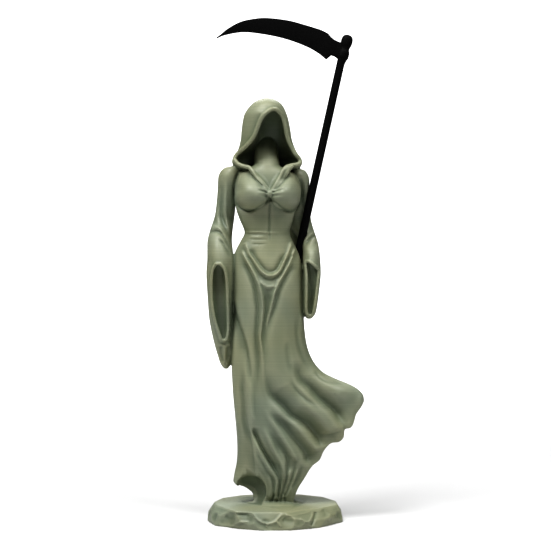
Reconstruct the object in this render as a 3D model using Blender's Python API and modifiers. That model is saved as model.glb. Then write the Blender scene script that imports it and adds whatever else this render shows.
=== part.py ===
"""A hooded, robed reaper figure on a chipped rock base, with a separate scythe.

Two solids: the figure, which is one piece with its base, and the scythe, whose
shaft stands in a slanting socket at the figure's hip. Metres, +Z up. The origin
is the middle of the base's underside, the figure faces -Y, and its train blows
towards +X.
"""

import math

import bmesh
import bpy
import numpy as np
from mathutils import Vector

# Sizes of the figure and its base
ROBED_HEIGHT = 0.2023  # from the base's top to the crown of the hood
BASE_HEIGHT = 0.0085
BASE_WIDTH = 0.068  # across the foot of the rock
BASE_TOP_WIDTH = 0.0615  # across its upper edge
CLOTH_THICKNESS = 0.0016  # of the skirt at its hem
HEM_HOLLOW = 0.007  # how far the skirt's underside is hollowed
HOOD_ROLL = 0.0011  # radius of the rolled edge round the hood's opening
SLEEVE_ROLL = 0.0008  # and round the sleeves' mouths
SLEEVE_WALL = 0.0013  # of the sleeves beside their mouths

# Sizes of the scythe
SHAFT_DIAMETER = 0.0040
SHAFT_LENGTH = 0.1256  # from its foot in the socket to the top of the collar
SHAFT_SLANT = math.radians(12.53)
COLLAR_DIAMETER = 0.0057
COLLAR_LENGTH = 0.0133
COLLAR_OFFSET = 0.0007  # how far the collar stands to one side of the shaft
BLADE_LENGTH = 0.0653  # from its tip to the middle of the collar
BLADE_RISE = 0.0051  # how far its level lies above the shaft's end
BLADE_THICKNESS = 0.0019
BLADE_EDGE = 0.0006  # what is left at the cutting edge
TANG_THICKENING = 1.5  # the blade's root against the blade

# The socket that holds it
SOCKET_DEPTH = 0.015
SOCKET_CLEARANCE = 0.0003

# How finely the forms are made
CLAY_VOXEL = 0.0006
FIGURE_TRIANGLES = 8600
ROUND_SIDES = 18
SHARP_ANGLE = math.radians(40)

# The figure's own drawing: its tables are in thousandths of a metre on a figure
# 202.3 tall, x to the right, y away from the viewer, h up from the base's top.
DRAWN_HEIGHT = 202.3
UNIT = ROBED_HEIGHT / DRAWN_HEIGHT
EYE_DISTANCE = 750.0  # folds are drawn as an eye straight in front sees them
EYE_HEIGHT = 113.5

SAGE = (0.22, 0.25, 0.16, 1.0)
BLACK = (0.008, 0.008, 0.008, 1.0)


# Curves and tables


def spline(points, count):
    """count points along a smooth curve through the given ones."""
    given = np.asarray(points, float)
    padded = np.vstack([2 * given[0] - given[1], given, 2 * given[-1] - given[-2]])
    place = np.linspace(0, len(given) - 1, count)
    k = np.minimum(place.astype(int), len(given) - 2)
    f = (place - k)[:, None]
    a, b, c, d = padded[k], padded[k + 1], padded[k + 2], padded[k + 3]
    return 0.5 * (
        2 * b
        + (c - a) * f
        + (2 * a - 5 * b + 4 * c - d) * f**2
        + (3 * b - a - 3 * c + d) * f**3
    )


def at_height(table, heights):
    """A table's columns at the given heights, its first column being the height."""
    curve = spline(table, 24 * len(table))
    order = np.argsort(curve[:, 0])
    return [np.interp(heights, curve[order, 0], column[order]) for column in curve.T[1:]]


def smooth_step(value):
    """0 below 0, 1 above 1, and a soft rise between."""
    t = np.clip(value, 0, 1)
    return t * t * (3 - 2 * t)


# Meshes


def new_object(name, mesh, collection):
    made = bpy.data.objects.new(name, mesh)
    collection.objects.link(made)
    return made


def skin(name, rings, collection):
    """A closed skin over rings of equally many points, in drawing units."""
    rings = [np.asarray(ring, float) for ring in rings]
    around = len(rings[0])
    mesh = bpy.data.meshes.new(name)
    faces = [
        (
            i * around + j,
            i * around + (j + 1) % around,
            (i + 1) * around + (j + 1) % around,
            (i + 1) * around + j,
        )
        for i in range(len(rings) - 1)
        for j in range(around)
    ]
    last = (len(rings) - 1) * around
    faces.append(tuple(range(around)))
    faces.append(tuple(last + j for j in range(around)))
    mesh.from_pydata((np.vstack(rings) * UNIT).tolist(), [], faces)
    work = bmesh.new()
    work.from_mesh(mesh)
    bmesh.ops.remove_doubles(work, verts=work.verts, dist=0.02 * UNIT)
    bmesh.ops.recalc_face_normals(work, faces=work.faces)
    bmesh.ops.triangulate(work, faces=[f for f in work.faces if len(f.verts) > 4])
    work.to_mesh(mesh)
    work.free()
    return new_object(name, mesh, collection)


def evaluated_copy(source, name, collection):
    """The object's evaluated mesh as a new plain object, and the source removed."""
    graph = bpy.context.evaluated_depsgraph_get()
    mesh = bpy.data.meshes.new_from_object(source.evaluated_get(graph))
    mesh.transform(source.matrix_world)
    bpy.data.objects.remove(source)
    return new_object(name, mesh, collection)


def rolled_edge(name, path, radii, collection):
    """A round roll of cloth along a path, both in drawing units."""
    curve = bpy.data.curves.new(name, "CURVE")
    curve.dimensions = "3D"
    curve.bevel_depth = UNIT
    curve.bevel_resolution = 3
    curve.use_fill_caps = True
    line = curve.splines.new("POLY")
    line.points.add(len(path) - 1)
    for point, place, radius in zip(line.points, path, radii):
        point.co = (*(Vector(place) * UNIT), 1.0)
        point.radius = radius
    tube = evaluated_copy(new_object(name, curve, collection), name, collection)
    work = bmesh.new()
    work.from_mesh(tube.data)
    bmesh.ops.remove_doubles(work, verts=work.verts, dist=0.01 * UNIT)
    bmesh.ops.recalc_face_normals(work, faces=work.faces)
    work.to_mesh(tube.data)
    work.free()
    return tube


def ball(name, centre, radii, collection):
    """An egg of the given half-sizes, in drawing units."""
    bpy.ops.mesh.primitive_uv_sphere_add(segments=48, ring_count=32, radius=1.0)
    made = bpy.context.object
    made.name = name
    for old in list(made.users_collection):
        old.objects.unlink(made)
    collection.objects.link(made)
    made.scale = Vector(radii) * UNIT
    made.location = Vector(centre) * UNIT
    bpy.context.view_layer.update()
    return evaluated_copy(made, name, collection)


def cut(target, cutter, operation="DIFFERENCE"):
    """Cuts or joins with a Boolean, applies it and removes the cutter."""
    change = target.modifiers.new(operation.title(), "BOOLEAN")
    change.operation = operation
    change.solver = "EXACT"
    change.object = cutter
    bpy.context.view_layer.update()
    graph = bpy.context.evaluated_depsgraph_get()
    mesh = bpy.data.meshes.new_from_object(target.evaluated_get(graph))
    target.modifiers.clear()
    target.data = mesh
    bpy.data.objects.remove(cutter)
    return target


# Folds


def seen_from_front(points):
    """Where points appear in the front drawing, seen by the eye straight in front."""
    scale = EYE_DISTANCE / (EYE_DISTANCE + points[:, 1])
    return np.column_stack(
        [points[:, 0] * scale, EYE_HEIGHT + (points[:, 2] - EYE_HEIGHT) * scale]
    )


def behind_drawing(path, depths):
    """Points that appear at the drawn (x, h) and lie at the given y."""
    x, h = np.asarray(path, float).T
    y = np.broadcast_to(np.asarray(depths, float), x.shape)
    scale = 1 + y / EYE_DISTANCE
    return np.column_stack([x * scale, y, EYE_HEIGHT + (h - EYE_HEIGHT) * scale])


def fold_push(points, normals, fold, back=False):
    """How far one fold raises each point.

    A fold is (path, left, right, height, rise, fall): a line in the front drawing,
    its half-width to the left hand and to the right hand of someone walking along
    it, its height, which is below 0 for a crease, and the shares of its length
    over which it grows and dies away. A seventh number below 2 makes it crisper.
    """
    path, left, right, height, rise, fall, *crispness = fold
    power = crispness[0] if crispness else 2.0
    seen = points[:, [0, 2]] if back else seen_from_front(points)
    line = spline(path, 12 * len(path))
    reach = (3 if power == 2.0 else 5) * max(left, right)
    outward = normals[:, 1] if back else -normals[:, 1]
    within = (seen > line.min(0) - reach) & (seen < line.max(0) + reach)
    near = within.all(1) & (outward > -0.1)
    push = np.zeros(len(points))
    if not near.any():
        return push
    gap = ((seen[near, None, :] - line[None]) ** 2).sum(2)
    nearest = gap.argmin(1)
    heading = np.gradient(line, axis=0)[nearest]
    offset = seen[near] - line[nearest]
    leftward = heading[:, 0] * offset[:, 1] - heading[:, 1] * offset[:, 0]
    width = np.where(leftward > 0, left, right)
    along = nearest / (len(line) - 1)
    strength = smooth_step(along / max(rise, 1e-6)) * smooth_step((1 - along) / max(fall, 1e-6))
    facing = smooth_step((outward[near] + 0.1) / 0.45)
    across = np.exp(-((np.sqrt(gap.min(1)) / width) ** power))
    push[near] = height * strength * facing * across
    return push


def fold_shift(points, normals, folds, back_folds=()):
    """How far all the folds together move each point along Y: the front ones raise
    the cloth towards -Y and the back ones towards +Y, so it never doubles over."""
    forward = sum(fold_push(points, normals, fold) for fold in folds)
    backward = sum((fold_push(points, normals, fold, back=True) for fold in back_folds), 0.0)
    return backward - forward


def carve(target, folds):
    """Raises and sinks an object's surface along its folds."""
    mesh = target.data
    count = len(mesh.vertices)
    points, normals = np.empty(3 * count), np.empty(3 * count)
    mesh.vertices.foreach_get("co", points)
    mesh.vertex_normals.foreach_get("vector", normals)
    points, normals = points.reshape(-1, 3) / UNIT, normals.reshape(-1, 3)
    points[:, 1] += fold_shift(points, normals, folds)
    mesh.vertices.foreach_set("co", (points * UNIT).ravel())
    mesh.update()
    return target


LEAST_DEPTH = 0.35  # what a fold leaves of the gown's depth where the cloth is thin


def carve_rings(rings, folds, back_folds):
    """The same for a skin that is still a list of rings."""
    grid = np.array(rings)
    round_about = np.roll(grid, -1, axis=1) - np.roll(grid, 1, axis=1)
    downward = np.gradient(grid, axis=0)
    normals = np.cross(downward, round_about)
    normals /= np.maximum(np.linalg.norm(normals, axis=2, keepdims=True), 1e-9)
    if normals[len(grid) // 2, grid.shape[1] // 4, 1] > 0:
        normals = -normals
    shift = fold_shift(grid.reshape(-1, 3), normals.reshape(-1, 3), folds, back_folds)
    depth = grid[:, :, 1].copy()
    moved = depth + shift.reshape(depth.shape)
    least = LEAST_DEPTH * depth
    grid[:, :, 1] = np.where(depth < 0, np.minimum(moved, least), np.maximum(moved, least))
    return list(grid)


# The gown


# Left and right edge in the front view, from the neck down: x and h of each, then
# how far the body reaches forwards and back there.
BODY_STATIONS = [
    (-8.6, 171.0, -0.4, 171.0, 4.4, 5.6),
    (-10.4, 169.2, 1.6, 168.8, 6.0, 6.8),
    (-13.4, 167.2, 4.8, 166.8, 7.2, 7.8),
    (-17.4, 165.4, 9.0, 165.0, 8.0, 8.8),
    (-19.4, 163.2, 11.2, 162.8, 8.7, 9.2),
    (-20.3, 160.0, 12.3, 160.0, 9.5, 9.2),
    (-20.4, 155.6, 12.7, 155.6, 10.6, 9.2),
    (-20.3, 151.0, 12.2, 151.0, 11.0, 8.8),
    (-19.8, 147.4, 10.9, 147.4, 10.2, 8.5),
    (-19.2, 145.0, 9.7, 145.0, 9.6, 8.2),
    (-17.8, 141.2, 8.7, 141.2, 8.7, 7.6),
    (-15.5, 135.2, 7.2, 135.2, 8.3, 7.2),
    (-17.2, 131.2, 8.4, 131.2, 8.8, 7.8),
    (-19.8, 126.2, 10.8, 126.2, 9.8, 9.6),
    (-21.3, 121.2, 12.6, 121.2, 11.0, 11.6),
    (-21.8, 113.8, 13.5, 113.8, 12.2, 13.2),
    (-21.8, 104.6, 14.0, 104.6, 12.9, 13.0),
    (-21.8, 95.4, 14.0, 95.4, 13.0, 12.8),
]
# The skirt's two edges, down to the lobe on the left and the train's tip
SKIRT_LEFT = [(-21.8, 95.0), (-22.0, 81.0), (-21.9, 67.0), (-21.3, 55.0), (-20.5, 46.0),
              (-19.6, 37.0), (-19.1, 29.0), (-19.3, 21.0), (-20.6, 14.5), (-21.2, 10.6)]
SKIRT_RIGHT = [(14.0, 95.0), (14.6, 86.0), (16.0, 77.5), (19.0, 70.5), (23.5, 65.4),
               (29.5, 62.2), (35.5, 59.8), (40.5, 57.2), (43.6, 54.2), (44.4, 51.0)]
SKIRT_FRONT = [13.0, 13.0, 13.2, 13.4, 13.2, 12.6, 11.6, 10.2, 8.6, 7.0]
SKIRT_BACK = [12.8, 12.6, 12.4, 12.2, 12.0, 11.6, 11.0, 10.2, 9.2, 8.4]
# The hem, from the lobe past the foot, which goes down into the rock, to the tip
HEM = [(-21.2, 10.6), (-18.8, 8.6), (-14.5, 7.0), (-11.6, 5.0), (-10.8, 1.5), (-10.0, -1.2),
       (-3.5, -1.5), (3.0, -1.5), (8.4, -1.2), (9.0, 2.0), (11.0, 7.6), (14.6, 13.4),
       (18.0, 18.8), (21.8, 22.0), (24.0, 26.6), (27.4, 30.2), (31.6, 31.0), (33.8, 33.2),
       (34.4, 37.0), (37.2, 37.8), (38.9, 40.2), (40.2, 44.4), (42.8, 48.0), (44.4, 51.0)]

GOWN_AROUND = 400
SKIRT_RINGS = 130
BODY_RINGS = 90


def gown_ring(edge_points, forward, backward):
    """A closed ring through points between its two edges, bulging both ways.

    edge_points are (x, h) from the left edge to the right one, spaced so that
    they crowd near both edges as a circle's do.
    """
    half = len(edge_points)
    turn = np.linspace(0, math.pi, half)
    depth = np.sin(turn) ** 0.9
    front = np.column_stack([edge_points[:, 0], -forward * depth, edge_points[:, 1]])
    rear = np.column_stack([edge_points[:, 0], backward * depth, edge_points[:, 1]])
    return np.vstack([front, rear[-2:0:-1]])


def along_curve(curve, share):
    """Points at the given shares of a finely sampled curve."""
    steps = np.linspace(0, 1, len(curve))
    return np.column_stack([np.interp(share, steps, column) for column in curve.T])


def skirt_point(across, down):
    """Where the skirt's cloth is in the front view: across and down run 0 to 1."""
    left = spline(SKIRT_LEFT, 200)
    right = spline(SKIRT_RIGHT, 200)
    hem = spline(HEM, 400)
    a, d = np.asarray(across, float), np.asarray(down, float)
    top = (1 - a)[:, None] * left[0] + a[:, None] * right[0]
    chord = (1 - a)[:, None] * left[-1] + a[:, None] * right[-1]
    sides = (1 - a)[:, None] * along_curve(left, d) + a[:, None] * along_curve(right, d)
    return sides + (1 - d)[:, None] * top + d[:, None] * along_curve(hem, a) - (
        (1 - d)[:, None] * top + d[:, None] * chord
    )


def gown(collection):
    """Torso and skirt in one skin: level rings down to the thigh, then rings that
    lean towards the train, and a hollow under the hem."""
    half = GOWN_AROUND // 2
    across = (1 - np.cos(np.linspace(0, math.pi, half))) / 2
    rings = []
    for xl, hl, xr, hr, forward, backward in spline(BODY_STATIONS, BODY_RINGS):
        line = np.column_stack([xl + (xr - xl) * across, hl + (hr - hl) * across])
        rings.append(gown_ring(line, forward, backward))
    depths = spline(np.column_stack([SKIRT_FRONT, SKIRT_BACK]), SKIRT_RINGS)
    for down, (forward, backward) in zip(np.linspace(0, 1, SKIRT_RINGS), depths):
        line = skirt_point(across, np.full(half, down))
        rings.append(gown_ring(line, forward, backward))
    rings = carve_rings(raise_cups(rings), GOWN_FOLDS, back_folds())
    return skin("gown", rings + hem_hollow(rings), collection)


def hem_hollow(rings):
    """Rings that turn in under the hem, so that its edge is as thin as cloth. The
    foot, which stands in the rock, stays full."""
    hem = rings[-1]
    upward = rings[-7] - hem
    upward[:, 1] = 0.0
    upward /= np.maximum(np.linalg.norm(upward, axis=1, keepdims=True), 1e-6)
    free = (smooth_step((hem[:, 2] - 6.0) / 8.0) * smooth_step(np.abs(hem[:, 1]) / 4.0))[:, None]
    cloth = CLOTH_THICKNESS / UNIT
    inner = []
    for lift, narrowing in ((0.0, 0.0), (0.45, 0.1), (0.85, 0.4), (1.0, 1.0)):
        ring = hem + upward * free * lift * HEM_HOLLOW / UNIT
        depth = np.maximum(np.abs(hem[:, 1]) - cloth, 0.0) * (1 - narrowing)
        ring[:, 1] = np.sign(hem[:, 1]) * depth
        inner.append(ring)
    return inner


# Folds of the gown as drawn from the front, each as fold_push says
TRAIN_FOLDS = [
    # the crease inside the train's upper edge and the broad roll under it
    ([(19, 66.8), (21, 63.8), (24, 61.3), (27.5, 60), (32, 59.2), (38.5, 57.4)],
     0.6, 0.6, -0.6, 0.2, 0.3, 1.5),
    ([(14, 68.5), (18.5, 62.5), (23.5, 59), (30, 56.5), (36, 55), (41, 53.5)],
     4.0, 5.5, 2.0, 0.35, 0.35),
    # the first furrow, long on its upper side and steep on its lower one
    ([(8.5, 72), (10.5, 67.3), (13, 61.3), (17.5, 56.8), (21, 52.8), (25, 49.3), (29, 45.8),
      (32.5, 41.3), (33.6, 37)], 5.0, 2.4, -4.8, 0.45, 0.22, 1.5),
    # the second roll, with a line along its top, and the second furrow
    ([(8, 66.8), (11, 59.8), (15.5, 54.8), (20, 50.3), (24, 46.3), (28, 41.8), (30.5, 37.3),
      (31.5, 34.8)], 1.6, 2.0, 1.0, 0.3, 0.15),
    ([(6, 63.8), (10, 56.8), (15, 51.8), (19, 49.2), (23, 45.5)], 0.9, 0.9, -0.5, 0.3, 0.4),
    ([(8, 54.8), (15, 48.3), (21, 43.3), (26, 37.3), (27, 33.8)], 2.6, 3.6, 1.5, 0.3, 0.15),
    ([(-5, 68.3), (-4, 61.3), (-2.5, 55.3), (0, 51.8), (4, 47.8), (8, 43.8), (12, 41.3),
      (16, 38.3), (20, 33.8), (22.5, 29.8), (23.5, 27)], 4.6, 2.2, -4.4, 0.4, 0.2, 1.5),
    # the third roll and furrow
    ([(-3, 52.3), (0, 48.3), (4, 43.3), (9, 39.3), (13, 35.3), (16, 31.3), (19.5, 27.3),
      (21, 24.8)], 1.6, 1.8, 1.0, 0.3, 0.15),
    ([(-4, 45.3), (0, 41.8), (4, 38.3), (8, 33.3), (12, 28.3), (15, 24.3), (16, 21.3), (15.5, 18)],
     3.4, 2.2, -2.8, 0.35, 0.2, 1.6),
    # the fourth and fifth, which run into the foot
    ([(-6, 48.8), (-2, 41.3), (2, 35.3), (6, 28.8), (9, 23.8), (11, 19.8)],
     1.0, 1.4, 1.0, 0.3, 0.15),
    ([(-3, 36), (1, 29.8), (5, 23.8), (7, 18.8), (7, 14)], 2.0, 1.3, -1.5, 0.35, 0.2, 1.6),
    ([(-7, 39.3), (-4, 33.3), (-1.5, 27.3), (1, 22.8), (3, 18.3), (3.5, 13.8), (3, 8)],
     1.2, 1.2, 1.5, 0.3, 0.2),
    # the narrow dark crease that runs into the foot, and the fold on its left
    ([(-11.2, 38), (-10.5, 35.3), (-8.5, 30.3), (-6, 25.3), (-3.5, 21.3), (-1.5, 18.3),
      (0, 15.3), (1.4, 10.5), (1.3, 5)], 1.5, 1.1, -3.0, 0.2, 0.45, 1.25),
    ([(-11, 34), (-8.5, 27.8), (-5.5, 22.3), (-2.5, 17.3), (0, 13.3), (1, 9.8), (0.5, 4.8),
      (0.5, 1)], 0.7, 1.3, 1.5, 0.2, 0.05),
    ([(-12, 30), (-8.5, 22.5), (-5, 16.5), (-1.5, 11), (-0.8, 5), (-1, 1)],
     0.8, 0.8, -0.8, 0.3, 0.1),
    ([(-14, 36.3), (-10.5, 26.3), (-6.5, 18.8), (-3, 13.8), (-2, 6.3), (-2.6, 1)],
     1.4, 1.6, 0.9, 0.35, 0.1),
    # soft folds down the left
    ([(-16.5, 68), (-16.5, 57), (-16, 49.8), (-15.5, 41.3), (-13.5, 33), (-10, 24)],
     1.2, 1.2, -1.0, 0.25, 0.3),
    ([(-13, 66), (-12.5, 54), (-12, 46), (-11, 38)], 1.3, 1.3, 0.8, 0.3, 0.2),
    # small folds that gather into the foot
    ([(-0.5, 27), (1.8, 20), (3, 14), (2.2, 8), (1, 1.5)], 0.8, 0.8, -0.9, 0.5, 0.1, 1.6),
    ([(2.5, 26), (4.2, 19), (4.4, 13), (3.2, 7), (2, 1.3)], 0.9, 0.9, 0.7, 0.5, 0.1),
    ([(4.5, 27), (6, 20), (5.8, 13), (4.2, 7), (2.8, 2)], 0.8, 0.8, -0.9, 0.5, 0.1, 1.6),
    ([(6.5, 25), (7.4, 18), (6.6, 12), (5.2, 6), (3.6, 2)], 0.8, 0.8, 0.7, 0.5, 0.1),
    ([(9.8, 24), (9.6, 17), (8.2, 11.5), (6.2, 6), (4.6, 3)], 0.9, 0.9, -1.2, 0.5, 0.1, 1.5),
    ([(12.5, 22), (10.6, 15.5), (9, 11), (7, 6.3), (5, 2.5)], 0.9, 0.9, 0.8, 0.5, 0.1),
    ([(14.5, 21), (12, 14.5), (10, 10.5), (7.6, 6.3)], 0.8, 0.8, -0.8, 0.5, 0.2, 1.6),
]
COWL_FOLDS = [
    # the cowl's edge across the hips and the belly that dips behind it
    ([(-15.2, 130.2), (-14.8, 128.8), (-13.3, 125.3), (-11.5, 122.3), (-9.5, 119.3),
      (-7.5, 116.5), (-5.5, 114.5), (-3, 113.5), (-0.5, 113.8), (2, 115.8), (4, 119.8),
      (6, 124.3), (7.5, 128.3), (8.2, 131)], 0.6, 1.1, 1.4, 0.05, 0.05, 1.6),
    ([(-13.6, 127), (-11.4, 123.6), (-8.5, 119.6), (-5.5, 116.3), (-3, 115.2), (-0.6, 115.6),
      (1.4, 117.6), (3.2, 121.2), (5.2, 125.6)], 1.6, 0.6, -1.3, 0.1, 0.15, 1.4),
    ([(-14.5, 124.5), (-12, 120.3), (-9.8, 116.5), (-7.2, 113.3), (-3.5, 111.4), (0, 112.2),
      (2.6, 114.6), (5, 119), (7.2, 124)], 0.9, 0.9, -0.9, 0.1, 0.1, 1.4),
    ([(-8, 111.8), (-6.5, 109.3), (-4, 107.9), (-1.5, 108), (0.2, 109.2)],
     0.6, 0.7, 0.8, 0.2, 0.2),
    # the long band from the left hip, and the crease outside it
    ([(-17, 126.5), (-16, 123.8), (-14, 120.3), (-12, 116.8), (-10, 112.8), (-8.5, 109.3),
      (-7.5, 105.8), (-6.5, 101.3), (-6.3, 96.3), (-6.8, 90), (-7.5, 83.8), (-7.3, 78.8),
      (-6.8, 73.8), (-6.5, 68.8), (-6, 60), (-4.2, 52)], 0.8, 0.8, 1.5, 0.06, 0.3, 1.6),
    ([(-16.6, 121.5), (-14.5, 117.8), (-12, 112.8), (-10.3, 107.8), (-9.3, 101.3),
      (-8.8, 96.3), (-9, 90), (-9.3, 83.8), (-9, 76.3), (-8.5, 68.8), (-9, 60), (-9, 52)],
     0.8, 1.8, -1.6, 0.12, 0.35, 1.6),
    # the same from the right hip
    ([(9.8, 127.5), (9.3, 125.3), (7.5, 120.8), (5.5, 116.8), (3.3, 112.8), (1.3, 108.8),
      (-0.3, 104.8), (-1.3, 100.8), (-2.5, 96.3), (-3.8, 91.3), (-4.8, 86.3), (-5.5, 82.3)],
     0.7, 0.8, 1.4, 0.06, 0.25, 1.6),
    ([(9.5, 120), (7, 115.8), (4.5, 111.8), (2, 107.3), (0.5, 102.8), (-0.8, 97.8), (-2, 93.8),
      (-4, 86.3), (-5.2, 79)], 1.8, 0.9, -0.9, 0.12, 0.35, 1.7),
    ([(8.6, 124.5), (8, 122.8), (6, 118.8), (3.5, 114.3), (1, 111)],
     0.6, 0.6, -0.8, 0.2, 0.3, 1.4),
    # the valley between the two bands
    ([(-3.8, 108), (-4, 102), (-4.4, 97), (-5, 91), (-5.8, 84), (-6.2, 76), (-6.2, 68)],
     2.0, 2.0, -1.7, 0.2, 0.5),
    # the front panel's edge on the left thigh
    ([(-21.8, 101), (-21, 98.8), (-20, 94.8), (-18.5, 89.8), (-16.5, 83.8), (-15, 78.8),
      (-14, 73.8), (-13, 66), (-12.5, 58)], 0.8, 4.4, -2.8, 0.1, 0.4, 1.7),
    # soft folds down the right thigh
    ([(11, 95), (10.5, 88.8), (11, 81.3), (12, 76.3), (14, 71.3), (16, 68)],
     0.9, 0.9, -0.4, 0.35, 0.2),
    ([(12.8, 95), (12.5, 91.3), (12.5, 83.8), (14, 77.3), (16, 72.3)], 0.8, 0.8, 0.35, 0.3, 0.2),
    ([(6, 82), (6, 76), (6.8, 70), (8.5, 64)], 1.2, 1.2, -0.4, 0.3, 0.3),
]
GOWN_FOLDS = TRAIN_FOLDS + COWL_FOLDS
# The same for the bodice, drawn on the fused skin
BODICE_FOLDS = [
    # under the cups
    ([(-20.6, 152.4), (-19.2, 149.4), (-17.4, 147.5), (-15.2, 146.4), (-12.9, 146.1),
      (-10.6, 146.8), (-8.2, 148.2), (-5.4, 150), (-2.8, 151.5)],
     0.6, 0.8, -1.5, 0.15, 0.05, 1.5),
    ([(-2.8, 151.5), (0.5, 150), (3.8, 147.3), (7, 145.8), (9.7, 146.5), (12.6, 151.1)],
     0.6, 0.8, -1.5, 0.05, 0.15, 1.5),
    # outside the lapels
    ([(-12.6, 164.2), (-10.4, 161.8), (-8, 159.8), (-5.4, 157.4)],
     0.5, 0.5, -0.9, 0.3, 0.2, 1.5),
    ([(6.9, 164.2), (5.6, 162.2), (3.4, 159.6), (1.2, 157.2), (-0.6, 155.8)],
     0.5, 0.5, -0.9, 0.3, 0.2, 1.5),
    # gathers that run into the knot
    ([(-10.4, 158), (-7, 156.9), (-3.8, 155.4)], 0.6, 0.6, 0.5, 0.6, 0.1),
    ([(-10, 156.7), (-6.6, 155.8), (-3.8, 154.8)], 0.45, 0.45, -0.45, 0.6, 0.1),
    ([(-9.4, 155.4), (-6, 154.8), (-3.8, 154.2)], 0.5, 0.5, 0.4, 0.6, 0.1),
    ([(-8.5, 153.6), (-5.6, 153.3), (-3.8, 153)], 0.45, 0.45, -0.5, 0.6, 0.1),
    ([(6, 157.9), (2.6, 157.2), (0, 156.2), (-1.8, 155.4)], 0.5, 0.5, 0.5, 0.6, 0.1),
    ([(6, 156.8), (2.4, 156.3), (0, 155.5), (-1.6, 154.9)], 0.45, 0.45, -0.45, 0.6, 0.1),
    ([(6, 155.4), (2.6, 155.2), (0, 154.8), (-1.6, 154.4)], 0.5, 0.5, 0.4, 0.6, 0.1),
    ([(5.4, 153.6), (2.6, 153.6), (0, 153.6), (-1.6, 153.5)], 0.45, 0.45, -0.5, 0.6, 0.1),
    ([(-2.7, 152.2), (-2.7, 151)], 0.9, 0.9, -1.3, 0.2, 0.2, 1.6),
    # the seam down the middle and the lines across the waist
    ([(-2.8, 151), (-2.9, 146), (-3, 140), (-3.1, 135), (-3.1, 129)],
     0.6, 0.6, -0.6, 0.1, 0.3, 1.6),
    ([(-16.5, 135.3), (-10, 135.2), (-5, 135), (-1, 134.9), (7.6, 135)],
     0.4, 0.5, 0.35, 0.05, 0.4, 1.6),
    ([(-15, 134.1), (-9, 134.1), (-3, 134.2)], 0.4, 0.4, -0.25, 0.3, 0.5),
    ([(-14.5, 132.8), (-9, 132.7), (-3, 132.8)], 0.4, 0.4, 0.2, 0.3, 0.5),
    ([(-14, 131.6), (-8, 131.4), (-2, 131.6)], 0.4, 0.4, -0.22, 0.3, 0.5),
    ([(-13, 129.3), (-8, 129.1), (-3, 129.4)], 0.4, 0.4, -0.25, 0.3, 0.5),
    # the cloth beside the cups
    ([(-18.2, 166), (-19.6, 162), (-20.6, 157), (-20.8, 151)], 0.6, 0.6, -0.9, 0.2, 0.2, 1.5),
    ([(-16.8, 165), (-18.4, 161), (-19.2, 156)], 0.6, 0.6, 0.5, 0.3, 0.4),
    ([(9.4, 165.6), (10.4, 162.6), (11.6, 160), (12.8, 157), (13.6, 153), (13.6, 149)],
     0.6, 0.6, -0.9, 0.2, 0.2, 1.5),
    # where the foot's folds spill onto the rock
    ([(-0.4, 5), (-1.4, 1.8), (-3.4, -0.8)], 0.6, 0.6, -0.6, 0.3, 0.3),
    ([(1.4, 5), (0.8, 1.5), (-0.4, -1.4)], 0.55, 0.55, -0.7, 0.3, 0.3),
    ([(3, 5), (2.7, 1.3), (2.3, -1.5)], 0.55, 0.55, -0.7, 0.3, 0.3),
    ([(4.6, 5.4), (4.7, 1.5), (5.2, -1.2)], 0.6, 0.6, -0.7, 0.3, 0.3),
]
# Middle and half-sizes of the hollow under the lobe at the hem's left
LOBE_HOLLOW = ((-13.6, -9.0, 6.2), (9.2, 9.2, 9.2))


def back_folds():
    """Plainer folds down the back, fanning out as the skirt's cloth does."""
    folds = []
    for k, across in enumerate(np.linspace(0.16, 0.86, 8)):
        down = np.linspace(0.12, 0.98, 7)
        path = skirt_point(np.full(7, across), down)
        height = 1.5 if k % 2 == 0 else -2.0
        width = 2.0 + 1.2 * across
        folds.append((path, width, width, height * (0.6 + 0.7 * across), 0.4, 0.1))
    return folds


# The bust and neck


# Each cup's middle in the front drawing, how far it reaches left, right, up and
# down from there, and its height
CUPS = [
    ((-13.4, 155.4), (7.6, 10.5, 10.6, 9.1), 7.2),
    ((5.8, 155.2), (8.7, 7.4, 10.6, 8.9), 6.9),
]
CUP_TIP = 0.35  # how round a cup's upper slope is at its tip


def cup_height(seen):
    """How far the cups stand forward: round below, and an even slope above."""
    height = np.zeros(len(seen))
    for middle, (left, right, up, down), tall in CUPS:
        x, h = (seen - middle).T
        reach_x = np.where(x < 0, left, right)
        reach_h = np.where(h > 0, up, down)
        share = np.minimum(np.abs(x / reach_x) ** 2.5 + (h / reach_h) ** 2, 1.0)
        upward = smooth_step(0.5 + 0.9 * h / np.maximum(np.hypot(x, h), 1e-6))
        slope = (np.sqrt(share + CUP_TIP**2) - CUP_TIP) / (math.hypot(1.0, CUP_TIP) - CUP_TIP)
        cup = tall * (upward * np.maximum(1 - slope, 0.0) ** 1.2 + (1 - upward) * (1 - share) ** 0.7)
        height = np.maximum(height, cup)
    return height


def raise_cups(rings):
    """The gown's rings with the bust raised on their front."""
    grid = np.array(rings)
    points = grid.reshape(-1, 3)
    lift = cup_height(seen_from_front(points)) * smooth_step(-points[:, 1] / 2.5)
    points[:, 1] -= lift
    return list(grid)


def bodice_front(path):
    """The y of the bodice's front at each drawn (x, h), cups included."""
    path = np.asarray(path, float)
    table = np.array(BODY_STATIONS)
    order = table[:, 1].argsort()
    left, right, forward = (
        np.interp(path[:, 1], table[order, 1], table[order, k]) for k in (0, 2, 4)
    )
    share = np.clip(2 * (path[:, 0] - left) / (right - left) - 1, -1, 1)
    return -forward * (1 - share**2) ** 0.45 - cup_height(path)


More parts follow.
